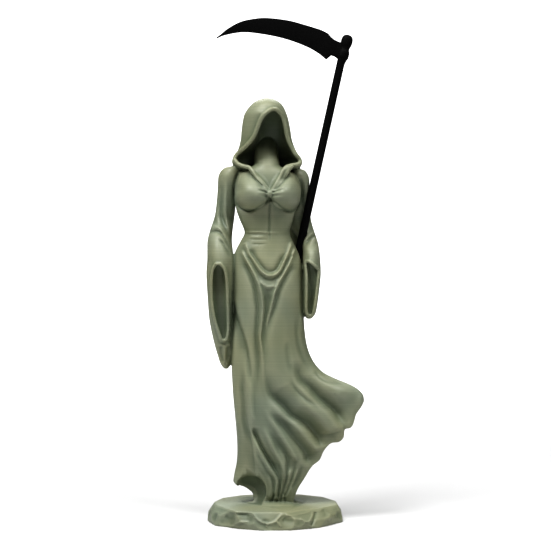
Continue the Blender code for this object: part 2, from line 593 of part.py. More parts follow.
def bust(collection):
    """The knot between the cups, and the neck."""
    neck = [
        ring_at(-4.0, 0.6, 160.0, 9.0, 8.6),
        ring_at(-4.2, 0.6, 164.5, 7.8, 8.6),
        ring_at(-4.4, 0.8, 168.0, 6.9, 8.0),
        ring_at(-4.5, 1.4, 171.4, 6.3, 7.0),
        ring_at(-4.6, 3.0, 175.0, 6.0, 6.4),
        ring_at(-4.6, 5.0, 179.0, 5.5, 5.8),
        ring_at(-4.7, 7.0, 183.0, 4.6, 4.8),
        ring_at(-4.6, 8.0, 187.0, 3.0, 3.0),
    ]
    return [
        skin("neck", neck, collection),
        ball("knot", (-2.9, -13.0, 153.7), (1.5, 1.7, 1.9), collection),
    ]


def ring_at(x, y, h, half_width, half_depth, sides=32, square=1.0):
    """A level oval ring; square below 1 fills its corners."""
    turn = np.linspace(0, 2 * math.pi, sides, endpoint=False)
    c, s = np.cos(turn), np.sin(turn)
    return np.column_stack(
        [
            x + half_width * np.sign(c) * np.abs(c) ** square,
            y + half_depth * np.sign(s) * np.abs(s) ** square,
            np.full(sides, h),
        ]
    )


# The hood


# Height, left and right edge, reach forwards and back
HOOD_OUTSIDE = [
    (166.6, -17.0, 9.0, -8.0, 10.5),
    (167.6, -20.0, 12.2, -10.0, 12.2),
    (169.8, -21.7, 13.4, -11.2, 13.2),
    (172.2, -21.4, 12.6, -11.4, 13.6),
    (176.2, -18.9, 10.2, -11.6, 14.4),
    (181.2, -17.5, 8.3, -12.2, 15.0),
    (186.2, -17.0, 7.5, -13.0, 15.2),
    (191.2, -16.3, 6.5, -13.6, 14.8),
    (194.5, -15.3, 5.5, -13.6, 14.0),
    (198.5, -12.4, 3.5, -11.4, 11.8),
    (201.0, -9.0, 0.4, -7.6, 8.6),
    (202.2, -5.4, -3.4, -2.0, 3.0),
]
# Height, left and right edge of the opening, and how far back the hollow goes
HOOD_HOLLOW = [
    (165.8, -10.6, 3.4, 3.0),
    (167.4, -12.6, 5.2, 5.6),
    (168.2, -15.6, 8.0, 7.0),
    (169.2, -18.4, 11.2, 8.0),
    (170.2, -19.8, 12.3, 8.6),
    (171.7, -20.3, 11.7, 9.0),
    (174.1, -18.8, 9.7, 9.2),
    (176.6, -15.8, 8.3, 9.2),
    (179.5, -12.6, 6.8, 8.8),
    (182.4, -10.5, 5.8, 8.2),
    (185.9, -9.0, 5.1, 7.0),
    (189.1, -7.7, 4.4, 5.0),
    (191.8, -6.3, 3.5, 2.0),
    (193.8, -4.3, 2.2, -1.4),
    (195.5, -1.4, 0.1, -5.0),
]


def hood_rim(side, heights):
    """Points where the opening meets the hood's outside, on one side."""
    left, right, front, rear = at_height(HOOD_OUTSIDE, heights)
    edge = at_height(HOOD_HOLLOW, heights)[0 if side < 0 else 1]
    middle, half = (left + right) / 2, (right - left) / 2
    share = np.clip((edge - middle) / half, -0.985, 0.985)
    y_middle, y_half = (front + rear) / 2, (rear - front) / 2
    return np.column_stack([edge, y_middle - y_half * np.sqrt(1 - share**2), heights])


def hood(collection):
    """The hood: a domed shell, its rolled rim, and the lapels down to the knot."""
    heights = np.linspace(HOOD_OUTSIDE[0][0], HOOD_OUTSIDE[-1][0], 60)
    left, right, front, rear = at_height(HOOD_OUTSIDE, heights)
    dome = skin(
        "hood_dome",
        [
            ring_at((l + r) / 2, (f + b) / 2, h, (r - l) / 2, (b - f) / 2, sides=64)
            for h, l, r, f, b in zip(heights, left, right, front, rear)
        ],
        collection,
    )
    heights = np.linspace(HOOD_HOLLOW[0][0], HOOD_HOLLOW[-1][0], 40)
    left, right, rear = at_height(HOOD_HOLLOW, heights)
    mouth = -22.0  # the cutter starts well in front of the rim
    hollow = skin(
        "hood_hollow",
        [
            ring_at((l + r) / 2, (mouth + b) / 2, h, (r - l) / 2, (b - mouth) / 2, 48, 0.7)
            for h, l, r, b in zip(heights, left, right, rear)
        ],
        collection,
    )
    cut(dome, hollow)
    rim_heights = np.concatenate([np.linspace(169.8, 193.2, 26), np.linspace(193.8, 195.3, 4)])
    left_rim = hood_rim(-1, rim_heights)
    right_rim = hood_rim(1, rim_heights)
    left_foot, right_foot = (
        behind_drawing(line, [*HOOD_FOOT, *lapel_front(line)[len(HOOD_FOOT):]])
        for line in (LEFT_RIM_FOOT, RIGHT_RIM_FOOT)
    )
    path = np.vstack(
        [
            spline(np.vstack([left_foot[::-1], left_rim[:1]]), 40)[:-1],
            left_rim,
            right_rim[::-1],
            spline(np.vstack([right_rim[:1], right_foot]), 40)[1:],
        ]
    )
    taper = np.interp(path[:, 2], (155.0, 160.0, 168.5), (0.5, 0.75, HOOD_ROLL / UNIT))
    rim = rolled_edge("hood_rim", path, taper, collection)
    lapels = [
        lapel("left_lapel", LEFT_LAPEL, collection),
        lapel("right_lapel", RIGHT_LAPEL, collection),
    ]
    return [dome, rim, *lapels]


# Where the rim goes on below the hood, down each lapel's inner edge to the knot
LEFT_RIM_FOOT = [(-18.6, 169.2), (-15.8, 168.1), (-13.2, 167.5), (-11.4, 165.6), (-9.6, 162.4),
                 (-7.0, 159.2), (-4.9, 156.8), (-3.9, 155.3)]
RIGHT_RIM_FOOT = [(11.6, 169.2), (8.4, 168.6), (5.4, 167.7), (3.6, 165.6), (2.2, 162.6),
                  (0.4, 159.4), (-1.1, 156.8), (-2.0, 155.3)]
HOOD_FOOT = [-5.4, -6.9, -8.4]  # y of the rim's first points there, on the hood's lower edge
LAPEL_SLOPE = (166.0, -9.4, -0.28)  # the height and y where the lapels start, and their slope


def lapel_front(path):
    """The y of the lapels' front, which spans the hollow between the cups."""
    top, start, slope = LAPEL_SLOPE
    h = np.asarray(path, float)[:, 1]
    return np.minimum(bodice_front(path), start + slope * (top - h)) - LAPEL_PROUD


# Down the middle of each lapel as drawn: x, h, half-width and thickness
LEFT_LAPEL = [
    (-13.4, 167.4, 0.4, 2.4), (-12.3, 166.3, 0.9, 2.6), (-10.9, 164.5, 1.2, 2.4),
    (-8.6, 161.8, 1.2, 1.9), (-6.4, 159.4, 1.2, 1.7), (-4.2, 157.0, 1.0, 1.6),
    (-2.8, 155.2, 0.8, 1.6),
]
RIGHT_LAPEL = [
    (8.8, 168.2, 0.5, 2.6), (7.4, 167.4, 1.2, 2.8), (6.0, 166.5, 1.6, 2.8),
    (4.8, 165.0, 1.9, 2.4), (3.2, 162.8, 1.8, 2.0), (1.5, 160.0, 1.6, 1.8),
    (-0.4, 157.4, 1.2, 1.7), (-2.4, 155.2, 0.9, 1.6),
]
LAPEL_PROUD = 0.8  # how far a lapel's face stands off the bodice


def lapel(name, table, collection):
    """A flat band of cloth from the hood's rim down to the knot."""
    x, h, half_width, thickness = spline(table, 28).T
    line = np.column_stack([x, h])
    middle = behind_drawing(line, lapel_front(line) + thickness / 2)
    heading = np.gradient(middle, axis=0)
    heading /= np.linalg.norm(heading, axis=1, keepdims=True)
    side = np.cross(heading, (0.0, 1.0, 0.0))
    side /= np.linalg.norm(side, axis=1, keepdims=True)
    outward = np.cross(side, heading)
    turn = np.linspace(0, 2 * math.pi, 16, endpoint=False)
    rings = []
    for k in range(len(middle)):
        across = half_width[k] * np.sign(np.cos(turn)) * np.abs(np.cos(turn)) ** 0.7
        through = thickness[k] / 2 * np.sign(np.sin(turn)) * np.abs(np.sin(turn)) ** 0.7
        rings.append(middle[k] + across[:, None] * side[k] + through[:, None] * outward[k])
    return skin(name, rings, collection)


# The arms and their bell sleeves


# Height, x and y of the middle, half-width and half-depth
LEFT_ARM = [
    (168.4, -20.4, 2.6, 1.6, 2.4), (167.2, -21.4, 2.6, 4.6, 5.0), (163.4, -22.8, 2.8, 5.8, 6.4),
    (156.0, -24.2, 3.4, 4.9, 5.8), (146.0, -25.2, 4.4, 4.9, 5.6), (141.0, -26.1, 4.6, 5.2, 5.8),
    (136.0, -27.2, 2.4, 5.7, 7.2), (131.0, -27.9, 0.6, 6.1, 9.0), (126.0, -27.7, -0.5, 6.4, 10.1),
    (121.0, -27.4, -1.1, 6.7, 10.6), (114.0, -27.6, -1.3, 6.9, 10.7),
    (101.0, -27.5, -0.8, 6.3, 9.8), (91.0, -27.2, 0.0, 5.8, 8.4), (81.0, -26.2, 0.8, 4.8, 6.6),
    (74.0, -25.2, 1.4, 3.9, 4.8),
    (69.0, -24.9, 1.6, 2.5, 3.2), (66.8, -24.8, 1.6, 0.9, 1.2),
]
RIGHT_ARM = [
    (167.2, 10.6, 2.8, 1.2, 2.0), (166.0, 11.4, 3.0, 3.6, 4.6), (162.4, 12.0, 3.6, 4.9, 6.2),
    (157.0, 12.6, 5.6, 4.5, 5.0), (151.0, 12.5, 8.4, 4.7, 4.4), (146.0, 12.2, 9.6, 5.3, 4.5),
    (141.0, 12.4, 10.2, 5.8, 4.9), (136.0, 13.8, 9.6, 5.8, 6.0), (131.0, 16.6, 7.2, 4.6, 7.8),
    (126.0, 17.8, 2.0, 4.2, 9.5), (121.0, 18.0, -0.2, 4.4, 9.6), (114.0, 18.3, -1.8, 4.3, 9.2),
    (106.0, 17.9, -2.0, 3.9, 8.4), (99.0, 17.4, -1.8, 3.5, 7.2), (94.4, 17.0, -1.4, 2.9, 5.4),
    (91.9, 16.8, -1.4, 1.1, 2.4),
]
# Height, left and right edge of the mouth, and how far back its hollow goes
LEFT_MOUTH = [
    (119.2, -28.6, -27.8, -8.0), (116.2, -30.2, -25.8, -6.4), (110.4, -30.9, -24.8, -5.6),
    (101.0, -30.7, -24.5, -4.8), (92.0, -29.4, -24.3, -3.8), (86.0, -27.6, -24.4, -3.6),
    (81.4, -26.0, -25.2, -4.4),
]
RIGHT_MOUTH = [
    (120.6, 14.8, 15.8, -6.8), (119.0, 15.0, 17.8, -6.2), (117.0, 15.1, 20.0, -5.8),
    (115.0, 15.2, 21.0, -5.6), (108.0, 15.4, 20.9, -5.2), (102.0, 15.4, 20.4, -4.8),
    (96.8, 15.7, 19.4, -4.8), (93.8, 16.6, 17.8, -5.0),
]
# Folds drawn on the sleeves from the front, as on the gown
LEFT_SLEEVE_FOLDS = [
    # down the upper arm
    ([(-26.8, 162), (-27.2, 152), (-26.8, 143), (-24.8, 136.6), (-22.8, 131.5), (-22, 126)],
     1.2, 1.2, -1.3, 0.3, 0.3),
    ([(-24.8, 163.5), (-25, 153.8), (-25.2, 146), (-24.2, 140), (-22.4, 134)],
     1.1, 1.1, 0.9, 0.3, 0.3),
    ([(-29.4, 157), (-29.6, 149), (-29, 142), (-27.4, 138)], 1.0, 1.0, 0.5, 0.3, 0.3),
    # round the elbow
    ([(-34, 137.6), (-31, 138), (-28, 137.2), (-25.2, 134.4)], 0.9, 0.9, 0.9, 0.2, 0.4),
    ([(-34, 134.8), (-31.6, 135.5), (-28.4, 135.2), (-25.6, 132.4), (-23.4, 127.8), (-22, 123.6)],
     0.6, 0.9, -1.5, 0.1, 0.3, 1.5),
    ([(-30, 133.6), (-27.2, 132.4), (-24.8, 129), (-22.8, 124.6)], 0.6, 0.6, 0.6, 0.3, 0.3),
    ([(-29, 132), (-26.4, 129.8), (-24, 125.6), (-22.2, 121.6)], 0.6, 0.8, -1.0, 0.3, 0.3, 1.5),
    # the gathered tail
    ([(-29, 81.6), (-25.5, 81.1), (-22, 81.8)], 0.5, 0.5, 0.5, 0.2, 0.2),
    ([(-29, 80.2), (-25.5, 79.6), (-22, 80.4)], 0.5, 0.6, -1.0, 0.2, 0.2, 1.5),
    ([(-27.3, 79), (-27, 74), (-25.9, 69.4)], 0.7, 0.7, -1.0, 0.2, 0.3, 1.5),
    ([(-25.3, 79), (-25.3, 74), (-25, 69)], 0.6, 0.6, 0.6, 0.2, 0.3),
    ([(-23.5, 79), (-23.9, 74), (-24.4, 70)], 0.6, 0.6, -0.7, 0.2, 0.3),
]
RIGHT_SLEEVE_FOLDS = [
    ([(21.5, 136.4), (18.6, 134.8), (16, 132.4), (14.2, 129.6)], 0.8, 0.8, 0.8, 0.2, 0.3),
    ([(22, 134.8), (19.3, 133.2), (16.6, 130.9), (14.4, 127.6)], 0.6, 0.8, -1.5, 0.15, 0.3, 1.5),
    ([(21.5, 132.2), (18.8, 130.4), (16.4, 127.8), (14.6, 124.4)], 0.9, 0.9, 0.6, 0.3, 0.3),
    ([(12.4, 164), (13.2, 158), (13.4, 152), (12.8, 146)], 1.0, 1.0, -0.9, 0.3, 0.3),
    ([(14.8, 162), (15.6, 156), (15.6, 149)], 0.9, 0.9, 0.6, 0.3, 0.3),
]
# The cloth behind the scythe's shaft, between the waist and the right sleeve
ELBOW_CLOTH = [
    (143.0, 11.0, 10.2, 2.0, 1.6), (138.0, 11.4, 9.8, 4.6, 3.2), (131.0, 11.8, 9.2, 5.0, 3.8),
    (125.0, 12.6, 8.4, 4.8, 3.8), (119.0, 13.6, 6.6, 4.0, 3.6), (112.0, 14.6, 4.6, 2.6, 2.6),
    (108.0, 15.0, 3.6, 0.8, 0.8),
]


def arm_skin(name, table, collection, rings=90):
    """A closed loft through level ovals: height, x and y of the middle, half-sizes."""
    ovals = [ring_at(x, y, h, rx, ry, 56) for h, x, y, rx, ry in spline(table, rings)]
    return skin(name, ovals, collection)


def sleeve(name, arm_table, mouth_table, folds, collection):
    """An arm and its bell sleeve, hollowed from the mouth, with a rolled rim."""
    made = carve(arm_skin(name, arm_table, collection), folds)
    roll = SLEEVE_ROLL / UNIT
    heights = np.linspace(mouth_table[0][0], mouth_table[-1][0], 40)
    x, y, rx, ry = at_height(arm_table, heights)
    left, right, rear = at_height(mouth_table, heights)
    inner = rx - SLEEVE_WALL / UNIT
    left, right = np.maximum(left - roll, x - inner), np.minimum(right + roll, x + inner)
    front = -20.0  # the cutter starts well in front of the sleeve
    hollow = skin(
        name + "_hollow",
        [
            ring_at((l + r) / 2, (front + b) / 2, h, (r - l) / 2, (b - front) / 2, 40, 0.75)
            for h, l, r, b in zip(heights, left, right, rear)
        ],
        collection,
    )
    cut(made, hollow)
    sides = []
    for edge in (left, right):
        share = (edge - x) / rx
        sides.append(np.column_stack([edge, y - ry * np.sqrt(1 - share**2), heights]))
    path = np.vstack([sides[0][::-1], sides[1], sides[0][-1:]])
    rim = rolled_edge(name + "_rim", path, np.full(len(path), roll), collection)
    return [made, rim]


# The figure


def clay(pieces, name, collection):
    """All the forms fused into one skin, as clay is, and eased a little."""
    work = bmesh.new()
    for piece in pieces:
        work.from_mesh(piece.data)
        bpy.data.objects.remove(piece)
    mesh = bpy.data.meshes.new(name)
    work.to_mesh(mesh)
    work.free()
    made = new_object(name, mesh, collection)
    fuse = made.modifiers.new("Fuse", "REMESH")
    fuse.mode = "VOXEL"
    fuse.voxel_size = CLAY_VOXEL
    ease = made.modifiers.new("Ease", "SMOOTH")
    ease.factor = 0.5
    ease.iterations = 3
    return evaluated_copy(made, name, collection)


def thin_out(target, triangles):
    """Fewer triangles, kept where the form turns."""
    count = sum(len(face.vertices) - 2 for face in target.data.polygons)
    thin = target.modifiers.new("Thin", "DECIMATE")
    thin.ratio = min(1.0, triangles / count)
    thin.use_collapse_triangulate = True
    return thin


def keep_largest(mesh):
    """Drops any crumb that the fusing left loose."""
    work = bmesh.new()
    work.from_mesh(mesh)
    work.verts.ensure_lookup_table()
    seen, groups = set(), []
    for start in work.verts:
        if start in seen:
            continue
        group, stack = set(), [start]
        while stack:
            vertex = stack.pop()
            if vertex in group:
                continue
            group.add(vertex)
            stack.extend(edge.other_vert(vertex) for edge in vertex.link_edges)
        seen |= group
        groups.append(group)
    largest = max(groups, key=len)
    bmesh.ops.delete(work, geom=[v for v in work.verts if v not in largest], context="VERTS")
    work.to_mesh(mesh)
    work.free()


# Corners of the rock seen from above, as shares of half its width: its foot, its
# widest line and its upper edge, each with its height as a share of the rock's
ROCK_RINGS = [
    (0.0, [(-1.0, -0.1), (-0.87, -0.55), (-0.5, -0.83), (-0.2, -0.97), (0.2, -0.96),
                (0.62, -0.74), (0.98, -0.22), (1.0, 0.16), (0.84, 0.55), (0.54, 0.84),
                (0.1, 0.98), (-0.34, 0.93), (-0.72, 0.7), (-0.95, 0.34)]),
    (0.46, [(-1.0, -0.06), (-0.9, -0.46), (-0.52, -0.86), (-0.1, -0.95), (0.34, -0.93),
                 (0.74, -0.6), (0.96, -0.26), (0.97, 0.24), (0.74, 0.64), (0.42, 0.88),
                 (-0.04, 0.97), (-0.44, 0.87), (-0.82, 0.58), (-0.96, 0.24)]),
    (1.0, [(-0.97, -0.21), (-0.58, -0.99), (0.13, -0.98), (0.4, -0.76), (0.7, -0.54),
                (1.0, -0.17), (0.98, 0.2), (0.8, 0.62), (0.42, 0.92), (-0.1, 0.98),
                (-0.56, 0.84), (-0.88, 0.52), (-0.99, 0.12)]),
]


def rock_base(collection):
    """A low rock with chipped sides, its flat underside at the origin."""
    corners = []
    for height, ring in ROCK_RINGS:
        half = (BASE_TOP_WIDTH if height == 1.0 else BASE_WIDTH) / 2
        corners += [(x * half, y * half, height * BASE_HEIGHT) for x, y in ring]
    mesh = bpy.data.meshes.new("rock")
    work = bmesh.new()
    for corner in corners:
        work.verts.new(corner)
    hull = bmesh.ops.convex_hull(work, input=work.verts[:])
    loose = [v for v in hull["geom_interior"] if isinstance(v, bmesh.types.BMVert)]
    bmesh.ops.delete(work, geom=loose, context="VERTS")
    bmesh.ops.recalc_face_normals(work, faces=work.faces)
    work.to_mesh(mesh)
    work.free()
    return new_object("rock", mesh, collection)


# Middle and half-sizes of the low rise in the rock that the foot's folds run out on
FOOT_MOUND = ((-0.6, -1.0, -2.2), (17.0, 14.0, 4.0))
SHAFT_PLANE = 2.5  # how far behind the figure's middle the scythe's plane lies
SHAFT_SEAT = (11.6, 125.0)  # x and h where the shaft's middle enters the hip


def shaft_frame():
    """The socket's mouth and the shaft's direction, in metres."""
    x, h = SHAFT_SEAT
    mouth = Vector((x * UNIT, SHAFT_PLANE * UNIT, BASE_HEIGHT + h * UNIT))
    along = Vector((math.sin(SHAFT_SLANT), 0.0, math.cos(SHAFT_SLANT)))
    return mouth, along


def rod(name, start, end, radius, collection, sides=ROUND_SIDES, end_radius=None):
    """A round rod between two points."""
    start, end = Vector(start), Vector(end)
    bpy.ops.mesh.primitive_cone_add(
        vertices=sides,
        radius1=radius,
        radius2=radius if end_radius is None else end_radius,
        depth=(end - start).length,
        location=(start + end) / 2,
    )
    made = bpy.context.object
    made.rotation_mode = "QUATERNION"
    made.rotation_quaternion = (end - start).to_track_quat("Z", "Y")
    bpy.context.view_layer.update()
    return evaluated_copy(made, name, collection)


def figure(collection):
    """The robed figure and its rock base, one solid with the shaft's socket."""
    pieces = [gown(collection), *bust(collection), *hood(collection)]
    pieces += sleeve("left_sleeve", LEFT_ARM, LEFT_MOUTH, LEFT_SLEEVE_FOLDS, collection)
    pieces += sleeve("right_sleeve", RIGHT_ARM, RIGHT_MOUTH, RIGHT_SLEEVE_FOLDS, collection)
    pieces.append(arm_skin("elbow_cloth", ELBOW_CLOTH, collection, 30))
    pieces.append(ball("mound", *FOOT_MOUND, collection))
    body = carve(clay(pieces, "robed_figure", collection), BODICE_FOLDS)
    cut(body, ball("lobe_hollow", *LOBE_HOLLOW, collection))
    body.location.z = BASE_HEIGHT
    bpy.context.view_layer.update()
    thin_out(body, FIGURE_TRIANGLES)
    body = evaluated_copy(body, "robed_figure", collection)
    keep_largest(body.data)
    cut(body, rock_base(collection), "UNION")
    mouth, along = shaft_frame()
    foot = mouth - along * (SOCKET_DEPTH + SOCKET_CLEARANCE)
    top = mouth + along * SHAFT_LENGTH
    bore = rod("socket", foot, top, SHAFT_DIAMETER / 2 + SOCKET_CLEARANCE, collection)
    cut(body, bore)
    return body


# The scythe


# The blade from its tip to the collar, in thousandths on a blade 65.3 long: how far
# left of the collar's middle and above the blade's own level its back stands, then
# the same for its cutting edge
DRAWN_BLADE = 65.3
# The line where the blade's bevel starts: left of the collar's middle, and its height
BLADE_BEVEL = [(-65.3, -5.4), (-57.4, 0.0), (-49.0, 1.4), (-41.6, 2.0), (-36.2, 1.6),
               (-24.8, -3.8), (-19.3, -5.9), (-13.9, -8.1), (-9.0, -9.7)]
BLADE_STATIONS = [
    (-65.3, -5.3, -65.1, -5.7),
    (-63.0, -3.6, -63.0, -4.7),
    (-59.5, -0.8, -60.6, -3.9),
    (-54.0, 2.2, -55.2, -2.8),
    (-48.6, 3.7, -50.2, -2.5),
    (-40.5, 4.5, -43.6, -3.2),
    (-29.6, 3.3, -35.2, -4.7),
    (-21.5, 1.2, -27.0, -7.0),
    (-13.4, -1.3, -18.8, -10.3),
    (-10.3, -2.7, -13.4, -13.5),
    (-9.2, -3.4, -10.1, -16.2),
    (-7.8, -5.1, -7.7, -14.1),
    (-6.3, -6.4, -5.9, -14.7),
    (-3.6, -7.7, -4.0, -16.2),
    (-0.4, -8.0, -0.6, -16.4),
]


def bevel_share(back, edge):
    """How far from the blade's back to its edge the bevel's line is crossed."""
    shares = np.linspace(0.1, 0.9, 81)
    x, h = (back + (edge - back) * shares[:, None]).T
    x_line, h_line = np.array(BLADE_BEVEL).T
    return shares[np.abs(h - np.interp(x, x_line, h_line)).argmin()]


def blade(origin, collection):
    """The curved blade: full thickness along its back, thin at the cutting edge."""
    scale = BLADE_LENGTH / DRAWN_BLADE
    rings = []
    for back_x, back_h, edge_x, edge_h in BLADE_STATIONS:
        back, edge = np.array([back_x, back_h]), np.array([edge_x, edge_h])
        in_tang = back_x > -10.0
        bevel = back + (edge - back) * (0.75 if in_tang else bevel_share(back, edge))
        taper = min(1.0, 0.35 + (DRAWN_BLADE + back_x) / 18)
        thick = BLADE_THICKNESS * taper * (TANG_THICKENING if in_tang else 1.0) / 2
        thin = min(thick, BLADE_EDGE / 2) * (2.4 if in_tang else 1.0)
        ring = []
        for point, depth in ((back, -thick), (bevel, -thick), (edge, -thin),
                             (edge, thin), (bevel, thick), (back, thick)):
            place = origin + Vector((point[0] * scale, depth, point[1] * scale))
            ring.append(np.array(place) / UNIT)
        rings.append(ring)
    return skin("blade", rings, collection)


def scythe(collection):
    """Shaft, collar and blade as one solid, standing in the hip's socket."""
    mouth, along = shaft_frame()
    foot = mouth - along * SOCKET_DEPTH
    end = foot + along * SHAFT_LENGTH
    whole = rod("scythe", foot, end, SHAFT_DIAMETER / 2, collection)
    aside = Vector((COLLAR_OFFSET, 0.0, 0.0))
    knob = end - along * COLLAR_LENGTH
    shoulder = end - along * COLLAR_LENGTH * 0.16
    width = COLLAR_DIAMETER / 2
    cut(whole, rod("collar", knob + aside * 0.6, shoulder + aside, width, collection), "UNION")
    crown = rod("crown", shoulder + aside - along * 0.0002, end + aside + along * 0.0006, width,
                collection, end_radius=width * 0.6)
    cut(whole, crown, "UNION")
    level = end + Vector((0.0, 0.0, BLADE_RISE))
    cut(whole, blade(level, collection), "UNION")
    return whole


def finish(target, name, colour, roughness):
    target.data.shade_smooth()
    target.data.set_sharp_from_angle(angle=SHARP_ANGLE)
    material = bpy.data.materials.new(name)
    material.use_nodes = True
    shader = material.node_tree.nodes["Principled BSDF"]
    shader.inputs["Base Color"].default_value = colour
    shader.inputs["Roughness"].default_value = roughness
    shader.inputs["Metallic"].default_value = 0.0
    target.data.materials.clear()
    target.data.materials.append(material)


def main():
    for old in list(bpy.data.objects):
        bpy.data.objects.remove(old)
    collection = bpy.data.collections.new("reaper_figurine")
    bpy.context.scene.collection.children.link(collection)
    finish(figure(collection), "sage_plastic", SAGE, 0.55)
    finish(scythe(collection), "black_plastic", BLACK, 0.4)


main()
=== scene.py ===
"""Looks of the hooded reaper figurine: the sculpted sage figure on its chipped rock,
the black scythe, and a plain studio. The fine forms are drawn in thousandths of a
metre on a figure 202.3 tall: x to the right, y away from the viewer, h up from the
rock's top."""

import math
from contextlib import contextmanager

import bmesh
import bpy
import numpy as np
from bpy.props import FloatProperty, FloatVectorProperty, IntProperty, PointerProperty
from mathutils import Matrix, Vector


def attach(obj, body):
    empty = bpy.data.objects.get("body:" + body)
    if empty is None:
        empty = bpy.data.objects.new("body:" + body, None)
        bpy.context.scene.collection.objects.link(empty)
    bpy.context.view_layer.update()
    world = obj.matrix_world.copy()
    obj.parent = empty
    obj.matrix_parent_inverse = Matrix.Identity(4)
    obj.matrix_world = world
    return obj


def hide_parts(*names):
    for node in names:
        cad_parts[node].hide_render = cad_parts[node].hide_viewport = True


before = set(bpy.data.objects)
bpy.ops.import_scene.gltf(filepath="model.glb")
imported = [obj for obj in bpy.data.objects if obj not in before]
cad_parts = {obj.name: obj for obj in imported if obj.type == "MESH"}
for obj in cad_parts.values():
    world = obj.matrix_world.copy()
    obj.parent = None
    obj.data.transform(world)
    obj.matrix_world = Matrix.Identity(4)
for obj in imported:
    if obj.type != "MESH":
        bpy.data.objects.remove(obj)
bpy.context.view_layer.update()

bl_info = {
    "name": "Hooded Reaper Figurine",
    "version": (1, 0, 0),
    "blender": (4, 5, 0),
    "location": "3D View > Sidebar > Reaper",
    "description": "Makes the printed reaper figurine, its scythe and a plain studio",
    "category": "Object",
}

MM = 0.001
DRAWN_HEIGHT = 202.3
EYE_DISTANCE = 750.0  # folds are drawn as an eye straight in front sees them
EYE_HEIGHT = 113.5


# Settings


def length(title, description, default, least=0.0001):
    """A setting in metres."""
    return FloatProperty(
        name=title, description=description, default=default, min=least, unit="LENGTH")


def strength(title, description, default):
    """How strong a light is."""
    return FloatProperty(name=title, description=description, default=default, min=0.0)


class ReaperFigureSettings(bpy.types.PropertyGroup):
    """Sizes of the figure and its rock."""

    robed_height: length(
        "Robed height", "From the rock's top to the crown of the hood", 0.2023, 0.1)
    rock_height: length("Rock height", "Height of the rock base", 0.0085, 0.002)
    rock_width: length("Rock width", "Across the foot of the rock", 0.068, 0.02)
    rock_top_width: length("Rock top width", "Across the rock's upper edge", 0.0615, 0.02)
    clay_voxel: length("Clay voxel", "How finely the forms are fused", 0.0004, 0.0002)
    triangles: IntProperty(
        name="Triangles", description="What the fused skin is thinned to",
        default=166000, min=20000)


class ReaperScytheSettings(bpy.types.PropertyGroup):
    """Sizes of the scythe and of the socket that holds it."""

    shaft_diameter: length("Shaft diameter", "Across the round shaft", 0.0040, 0.001)
    shaft_length: length(
        "Shaft length", "From its foot in the socket to the collar's top", 0.1256, 0.05)
    shaft_slant: FloatProperty(
        name="Shaft slant", description="How far the shaft leans from upright",
        default=math.radians(12.53), subtype="ANGLE")
    collar_diameter: length(
        "Collar diameter", "Across the collar that holds the blade", 0.0057, 0.002)
    blade_length: length("Blade length", "From the tip to the middle of the collar", 0.0653, 0.02)
    blade_thickness: length("Blade thickness", "Along the blade's back", 0.0019, 0.0005)
    socket_depth: length("Socket depth", "How deep the shaft stands in the hip", 0.015, 0.004)
    socket_clearance: length(
        "Socket clearance", "Room between the shaft and its socket", 0.0003, 0.0001)


class ReaperFinishSettings(bpy.types.PropertyGroup):
    """Colours and print texture."""

    sage: FloatVectorProperty(
        name="Sage", description="Colour of the figure's plastic", subtype="COLOR",
        size=4, min=0.0, max=1.0, default=(0.183, 0.199, 0.150, 1.0))
    black: FloatVectorProperty(
        name="Black", description="Colour of the scythe's plastic", subtype="COLOR",
        size=4, min=0.0, max=1.0, default=(0.006, 0.006, 0.006, 1.0))
    layer_height: length("Layer height", "Between two lines of the print", 0.00028, 0.0001)


class ReaperStageSettings(bpy.types.PropertyGroup):
    """Camera and lights."""

    eye_distance: length(
        "Eye distance", "From the camera to the figure's middle", EYE_DISTANCE * MM, 0.2)
    eye_height: length("Eye height", "Of the camera above the floor", 0.122, 0.0)
    view_width: length("View width", "What the picture spans at the figure", 0.2755, 0.05)
    key_strength: strength("Key strength", "Of the soft light from the upper left", 4.3)
    fill_strength: strength("Fill strength", "Of the soft light from the upper right", 2.6)
    back_strength: strength("Back strength", "Of the soft light over the paper behind", 5.0)
    overhead_strength: strength("Overhead strength", "Of the even light from straight above", 0.7)
    sky_strength: strength("Sky strength", "Of the even light from all round", 0.05)


# Curves and tables


TABLE_STEPS = 24  # how finely a table's curve is sampled between two of its rows


def spline(points, count):
    """count points along a smooth curve through the given ones."""
    given = np.asarray(points, float)
    padded = np.vstack([2 * given[0] - given[1], given, 2 * given[-1] - given[-2]])
    place = np.linspace(0, len(given) - 1, count)
    k = np.minimum(place.astype(int), len(given) - 2)
    f = (place - k)[:, None]
    a, b, c, d = padded[k], padded[k + 1], padded[k + 2], padded[k + 3]
    return 0.5 * (
        2 * b
        + (c - a) * f
        + (2 * a - 5 * b + 4 * c - d) * f**2
        + (3 * b - a - 3 * c + d) * f**3
    )


def at_height(table, heights):
    """A table's columns at the given heights, its first column being the height."""
    curve = spline(table, TABLE_STEPS * len(table))
    order = np.argsort(curve[:, 0])
    return [np.interp(heights, curve[order, 0], column[order]) for column in curve.T[1:]]


def smooth_step(value):
    """0 below 0, 1 above 1, and a soft rise between."""
    t = np.clip(value, 0, 1)
    return t * t * (3 - 2 * t)


# Meshes


SKIN_WELD = 0.02 * MM
BAR_WELD = 0.01 * MM
EGG_SIDES = 64


def new_object(name, data):
    """A mesh, light or camera as an object of the scene."""
    made = bpy.data.objects.new(name, data)
    bpy.context.scene.collection.objects.link(made)
    return made


@contextmanager
def editing(mesh):
    """The mesh opened for editing, and written back at the end."""
    work = bmesh.new()
    work.from_mesh(mesh)
    yield work
    work.to_mesh(mesh)
    work.free()


